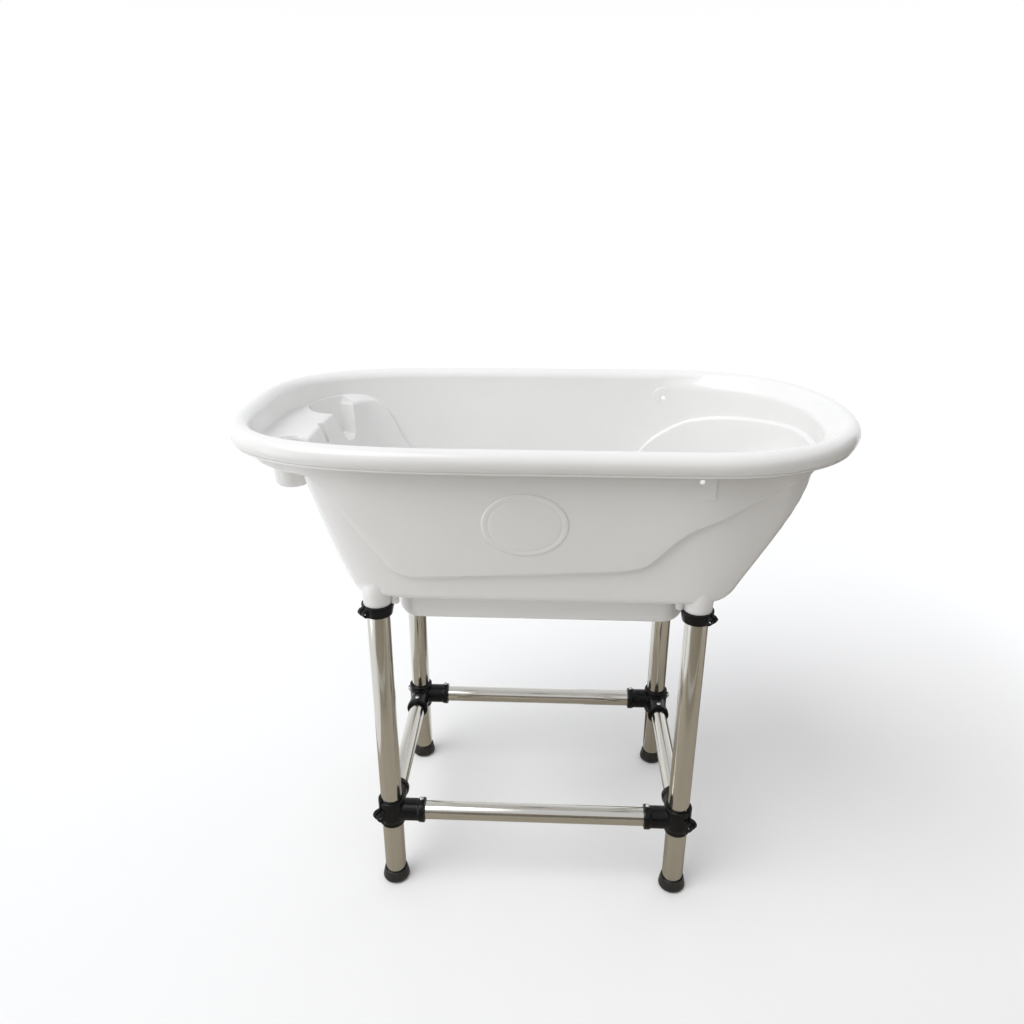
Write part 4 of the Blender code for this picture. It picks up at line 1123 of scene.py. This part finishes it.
def gasket_mesh():
    low, high = GASKET_BOTTOM_Z, GASKET_TOP_Z
    path = rounded([
        (GASKET_R, high, 0.0008), (GASKET_R, low, 0.0008), (NUT_BORE, low, 0.0004), (NUT_BORE, high, 0.0004),
    ], 3, True)
    return shade(lathe("drain_gasket_rubber", path, closed=True), 50)


def nut_mesh():
    """Round nut with grip lugs and three small ribs between each two."""
    path = [(NUT_R, NUT_TOP_Z), (NUT_R, NUT_BOTTOM_Z), (NUT_BORE, NUT_BOTTOM_Z), (NUT_BORE, NUT_TOP_Z)]
    nut = turned("nut_blank", path, closed=True)
    bars = []
    for i in range(4 * NUT_LUGS):
        inner, outer, half = NUT_RIB if i % 4 else NUT_LUG
        low = NUT_BOTTOM_Z + (0.001 if i % 4 else 0.0005)
        bar = box("bar_%d" % i, (inner, -half, low), (outer, half, NUT_TOP_Z - 0.001))
        bar.rotation_euler.z = math.tau * i / (4 * NUT_LUGS)
        bars.append(bar)
    combine(nut, bars, "UNION")
    mesh = baked(nut, "drain_nut_moulding")
    drop(bars)
    return moulded(mesh, 0.0005, 3)


def spigot_mesh():
    seat = SPIGOT_SEAT_Z
    points = [(SPIGOT_CUP_R - 0.0006, SPIGOT_TOP_Z, 0.0005), (SPIGOT_CUP_R, SPIGOT_TOP_Z - 0.001, 0.0005)]
    for i in range(3):
        groove = SPIGOT_TOP_Z - 0.004 - GRIP_PITCH * i
        points += [(SPIGOT_CUP_R, groove, 0.0004), (SPIGOT_CUP_R - 0.0008, groove - 0.0007, 0.0004),
                   (SPIGOT_CUP_R - 0.0008, groove - 0.0013, 0.0004), (SPIGOT_CUP_R, groove - 0.002, 0.0004)]
    points += [(SPIGOT_CUP_R, seat - 0.001, 0.0015), (BARB_R + 0.0015, seat - 0.005, 0.002)]
    for i in range(2):
        barb_z = seat - 0.01 - BARB_PITCH * i
        points += [(SPIGOT_R + 0.0005, barb_z, 0.0005), (BARB_R, barb_z - 0.0008, 0.0004)]
    points += [
        (SPIGOT_R, SPIGOT_BOTTOM_Z, 0.0006), (SPIGOT_BORE, SPIGOT_BOTTOM_Z, 0.0006),
        (SPIGOT_BORE, seat - 0.001, 0.0006), (SPIGOT_BORE + 0.007, seat, 0.001), (NUT_BORE, seat, 0.0004),
        (NUT_BORE, SPIGOT_TOP_Z, 0.0004),
    ]
    return shade(lathe("drain_spigot_moulding", rounded(points, 3, True), closed=True), 45)


def strainer_mesh():
    """Dished hair strainer with a ring of holes."""
    low = LEDGE_Z + GAP
    inner, dish, top = STRAINER_R - STRAINER_THICK, low + STRAINER_THICK, low + STRAINER_HEIGHT
    path = rounded([
        (0, dish, 0), (inner, dish, 0.001), (inner, top, 0.0005), (STRAINER_R, top, 0.0005),
        (STRAINER_R, low, 0.001), (0, low, 0),
    ], 4)
    blank = turned("strainer_blank", path[::-1], steps=96)
    holes = []
    for i in range(STRAINER_HOLES):
        hole = rod("strainer_hole_%d" % i, STRAINER_HOLE_R, low - 0.005, low + 0.01, steps=32)
        angle = math.tau * i / STRAINER_HOLES
        hole.location = (STRAINER_CIRCLE_R * math.cos(angle), STRAINER_CIRCLE_R * math.sin(angle), 0)
        holes.append(hole)
    combine(blank, holes, "DIFFERENCE")
    mesh = baked(blank, "strainer_steel")
    drop(holes)
    return shade(mesh, 40)


def plug_mesh():
    lip = FLANGE_TOP_Z + GAP
    knob = lip + KNOB_HEIGHT
    path = rounded([
        (0, knob, 0), (KNOB_R - 0.0012, knob, 0.0012), (KNOB_R, knob - 0.002, 0.0012),
        (KNOB_R - 0.0017, knob - 0.0045, 0.0015), (KNOB_NECK_R, knob - 0.007, 0.002),
        (KNOB_NECK_R + 0.0018, lip + 0.0028, 0.0025), (0.0245, lip + 0.0024, 0.0012), (0.026, lip + 0.001, 0.0008),
        (0.0255, lip, 0.0004), (PLUG_TAPER_R[1], lip, 0.0004), (PLUG_TAPER_R[0], PLUG_BOTTOM_Z, 0.0008),
        (0, PLUG_BOTTOM_Z, 0),
    ], 5)
    return shade(lathe("drain_plug_rubber", path), 50)


def build_drain():
    put("drain_flange_ring", flange_mesh(), "drain_steel", "root", "drain_flange")
    put("drain_gasket_ring", gasket_mesh(), "seal_rubber", "root", "drain_gasket")
    put("drain_lock_nut", nut_mesh(), "drain_plastic", "root", "drain_nut")
    put("drain_hose_spigot", spigot_mesh(), "drain_plastic", "root", "drain_spigot")
    put("hair_strainer", strainer_mesh(), "drain_steel", "strainer", "strainer")
    put("stopper", plug_mesh(), "seal_rubber", "plug", "drain_plug")


# ---- studio

def flat_square(name, half):
    return link(name, mesh_of(name, [(-half, -half, 0), (half, -half, 0), (half, half, 0), (-half, half, 0)],
                              [(0, 1, 2, 3)]))


def stage_plane(name, size, place, turn, color, diffuse=False, glow=0.0):
    """A card of the studio, seen only in reflections and light."""
    card = flat_square(name, 0.5)
    card.scale = (*size, 1)
    card.location = place
    card.rotation_euler = [math.radians(angle) for angle in turn]
    m = Nodes(name + "_paint", 0.9)
    m.fill(m.shader, Base_Color=color)
    if glow:
        m.fill(m.shader, Emission_Color=color, Emission_Strength=glow)
    card.data.materials.append(m.material)
    card.visible_camera = False
    card.visible_shadow = False
    card.visible_diffuse = diffuse


def soft_sun(name, toward, angle, strength):
    """A broad light far away in a direction, so that it falls evenly on the whole floor."""
    light = bpy.data.lights.new(name, "SUN")
    light.energy = strength
    light.angle = math.radians(angle)
    link(name, light).rotation_euler = Vector(toward).to_track_quat("Z", "Y").to_euler()


def build_world():
    """Soft dome: bright along the horizon, greyer overhead."""
    world = bpy.data.worlds.new("studio")
    bpy.context.scene.world = world
    world.use_nodes = True
    tree = world.node_tree
    place = tree.nodes.new("ShaderNodeTexCoord")
    split = tree.nodes.new("ShaderNodeSeparateXYZ")
    ramp = tree.nodes.new("ShaderNodeValToRGB")
    tree.links.new(place.outputs["Generated"], split.inputs[0])
    tree.links.new(split.outputs["Z"], ramp.inputs[0])
    ramp.color_ramp.elements[0].position = 0.13
    ramp.color_ramp.elements[0].color = (1.0, 1.0, 1.0, 1)
    ramp.color_ramp.elements[1].position = 0.55
    ramp.color_ramp.elements[1].color = (0.74, 0.75, 0.77, 1)
    background = tree.nodes["Background"]
    tree.links.new(ramp.outputs[0], background.inputs[0])
    background.inputs[1].default_value = 1.0


def build_studio():
    floor = flat_square("studio_floor", 9)
    floor.data.materials.append(floor_paint())
    build_world()
    soft_sun("sky_softbox", (-0.60, -0.40, 1.0), 45, 1.4)
    flat, upright = (0, 0, 0), (90, 0, 90)
    stage_plane("card_low_front", (2.3, 1.3), (0.35, -1.42, 0.14), flat, (0.30, 0.27, 0.21), True)
    stage_plane("card_front", (3.0, 1.1), (0.4, -2.0, 0.55), (90, 0, 0), (0.32, 0.28, 0.23), True)
    stage_plane("card_right", (2.2, 0.9), (1.30, -0.45, 0.72), upright, (0.10, 0.07, 0.045), True)
    stage_plane("card_left", (0.7, 0.8), (-1.45, -0.75, 0.4), upright, (1.0, 1.0, 1.0), glow=1.2)
    stage_plane("card_under", (2.3, 1.1), (0.55, -0.36, 0.003), flat, (0.42, 0.38, 0.31))
    stage_plane("card_under_right", (1.9, 1.3), (1.05, 0.85, 0.003), flat, (0.17, 0.15, 0.12))


CAMERA_PLACE = (0.0104, -1.2678, 1.1477)
CAMERA_DOWN = 22.809
CAMERA_YAW = -2.575
CAMERA_LENS = 29.446
CAMERA_SHIFT = (-0.00152, 0.00412)


def build_camera():
    """At the photograph's place: 1.15 m up, looking down 22.8 degrees and slightly towards -X."""
    data = bpy.data.cameras.new("camera")
    camera = link("camera", data)
    bpy.context.scene.camera = camera
    data.sensor_width = 36.0
    data.lens = CAMERA_LENS
    data.shift_x, data.shift_y = CAMERA_SHIFT
    pitch, yaw = math.radians(CAMERA_DOWN), math.radians(CAMERA_YAW)
    ahead = Vector((math.sin(yaw) * math.cos(pitch), math.cos(yaw) * math.cos(pitch), -math.sin(pitch)))
    right = Vector((math.cos(yaw), -math.sin(yaw), 0))
    above = right.cross(ahead)
    matrix = Matrix((right, above, -ahead)).transposed().to_4x4()
    matrix.translation = CAMERA_PLACE
    camera.matrix_world = matrix


# ---- the scene

LOOKS = {look.__name__: look() for look in (
    tub_plastic, polished_tube, clamp_plastic, foot_rubber, seal_rubber, screw_steel, drain_steel, drain_plastic,
)}
put("tub_moulding", build_shell_mesh(), "tub_plastic", "root", "tub_shell")
build_stand()
build_drain()
build_studio()
build_camera()
bpy.context.scene.view_settings.view_transform = "Standard"
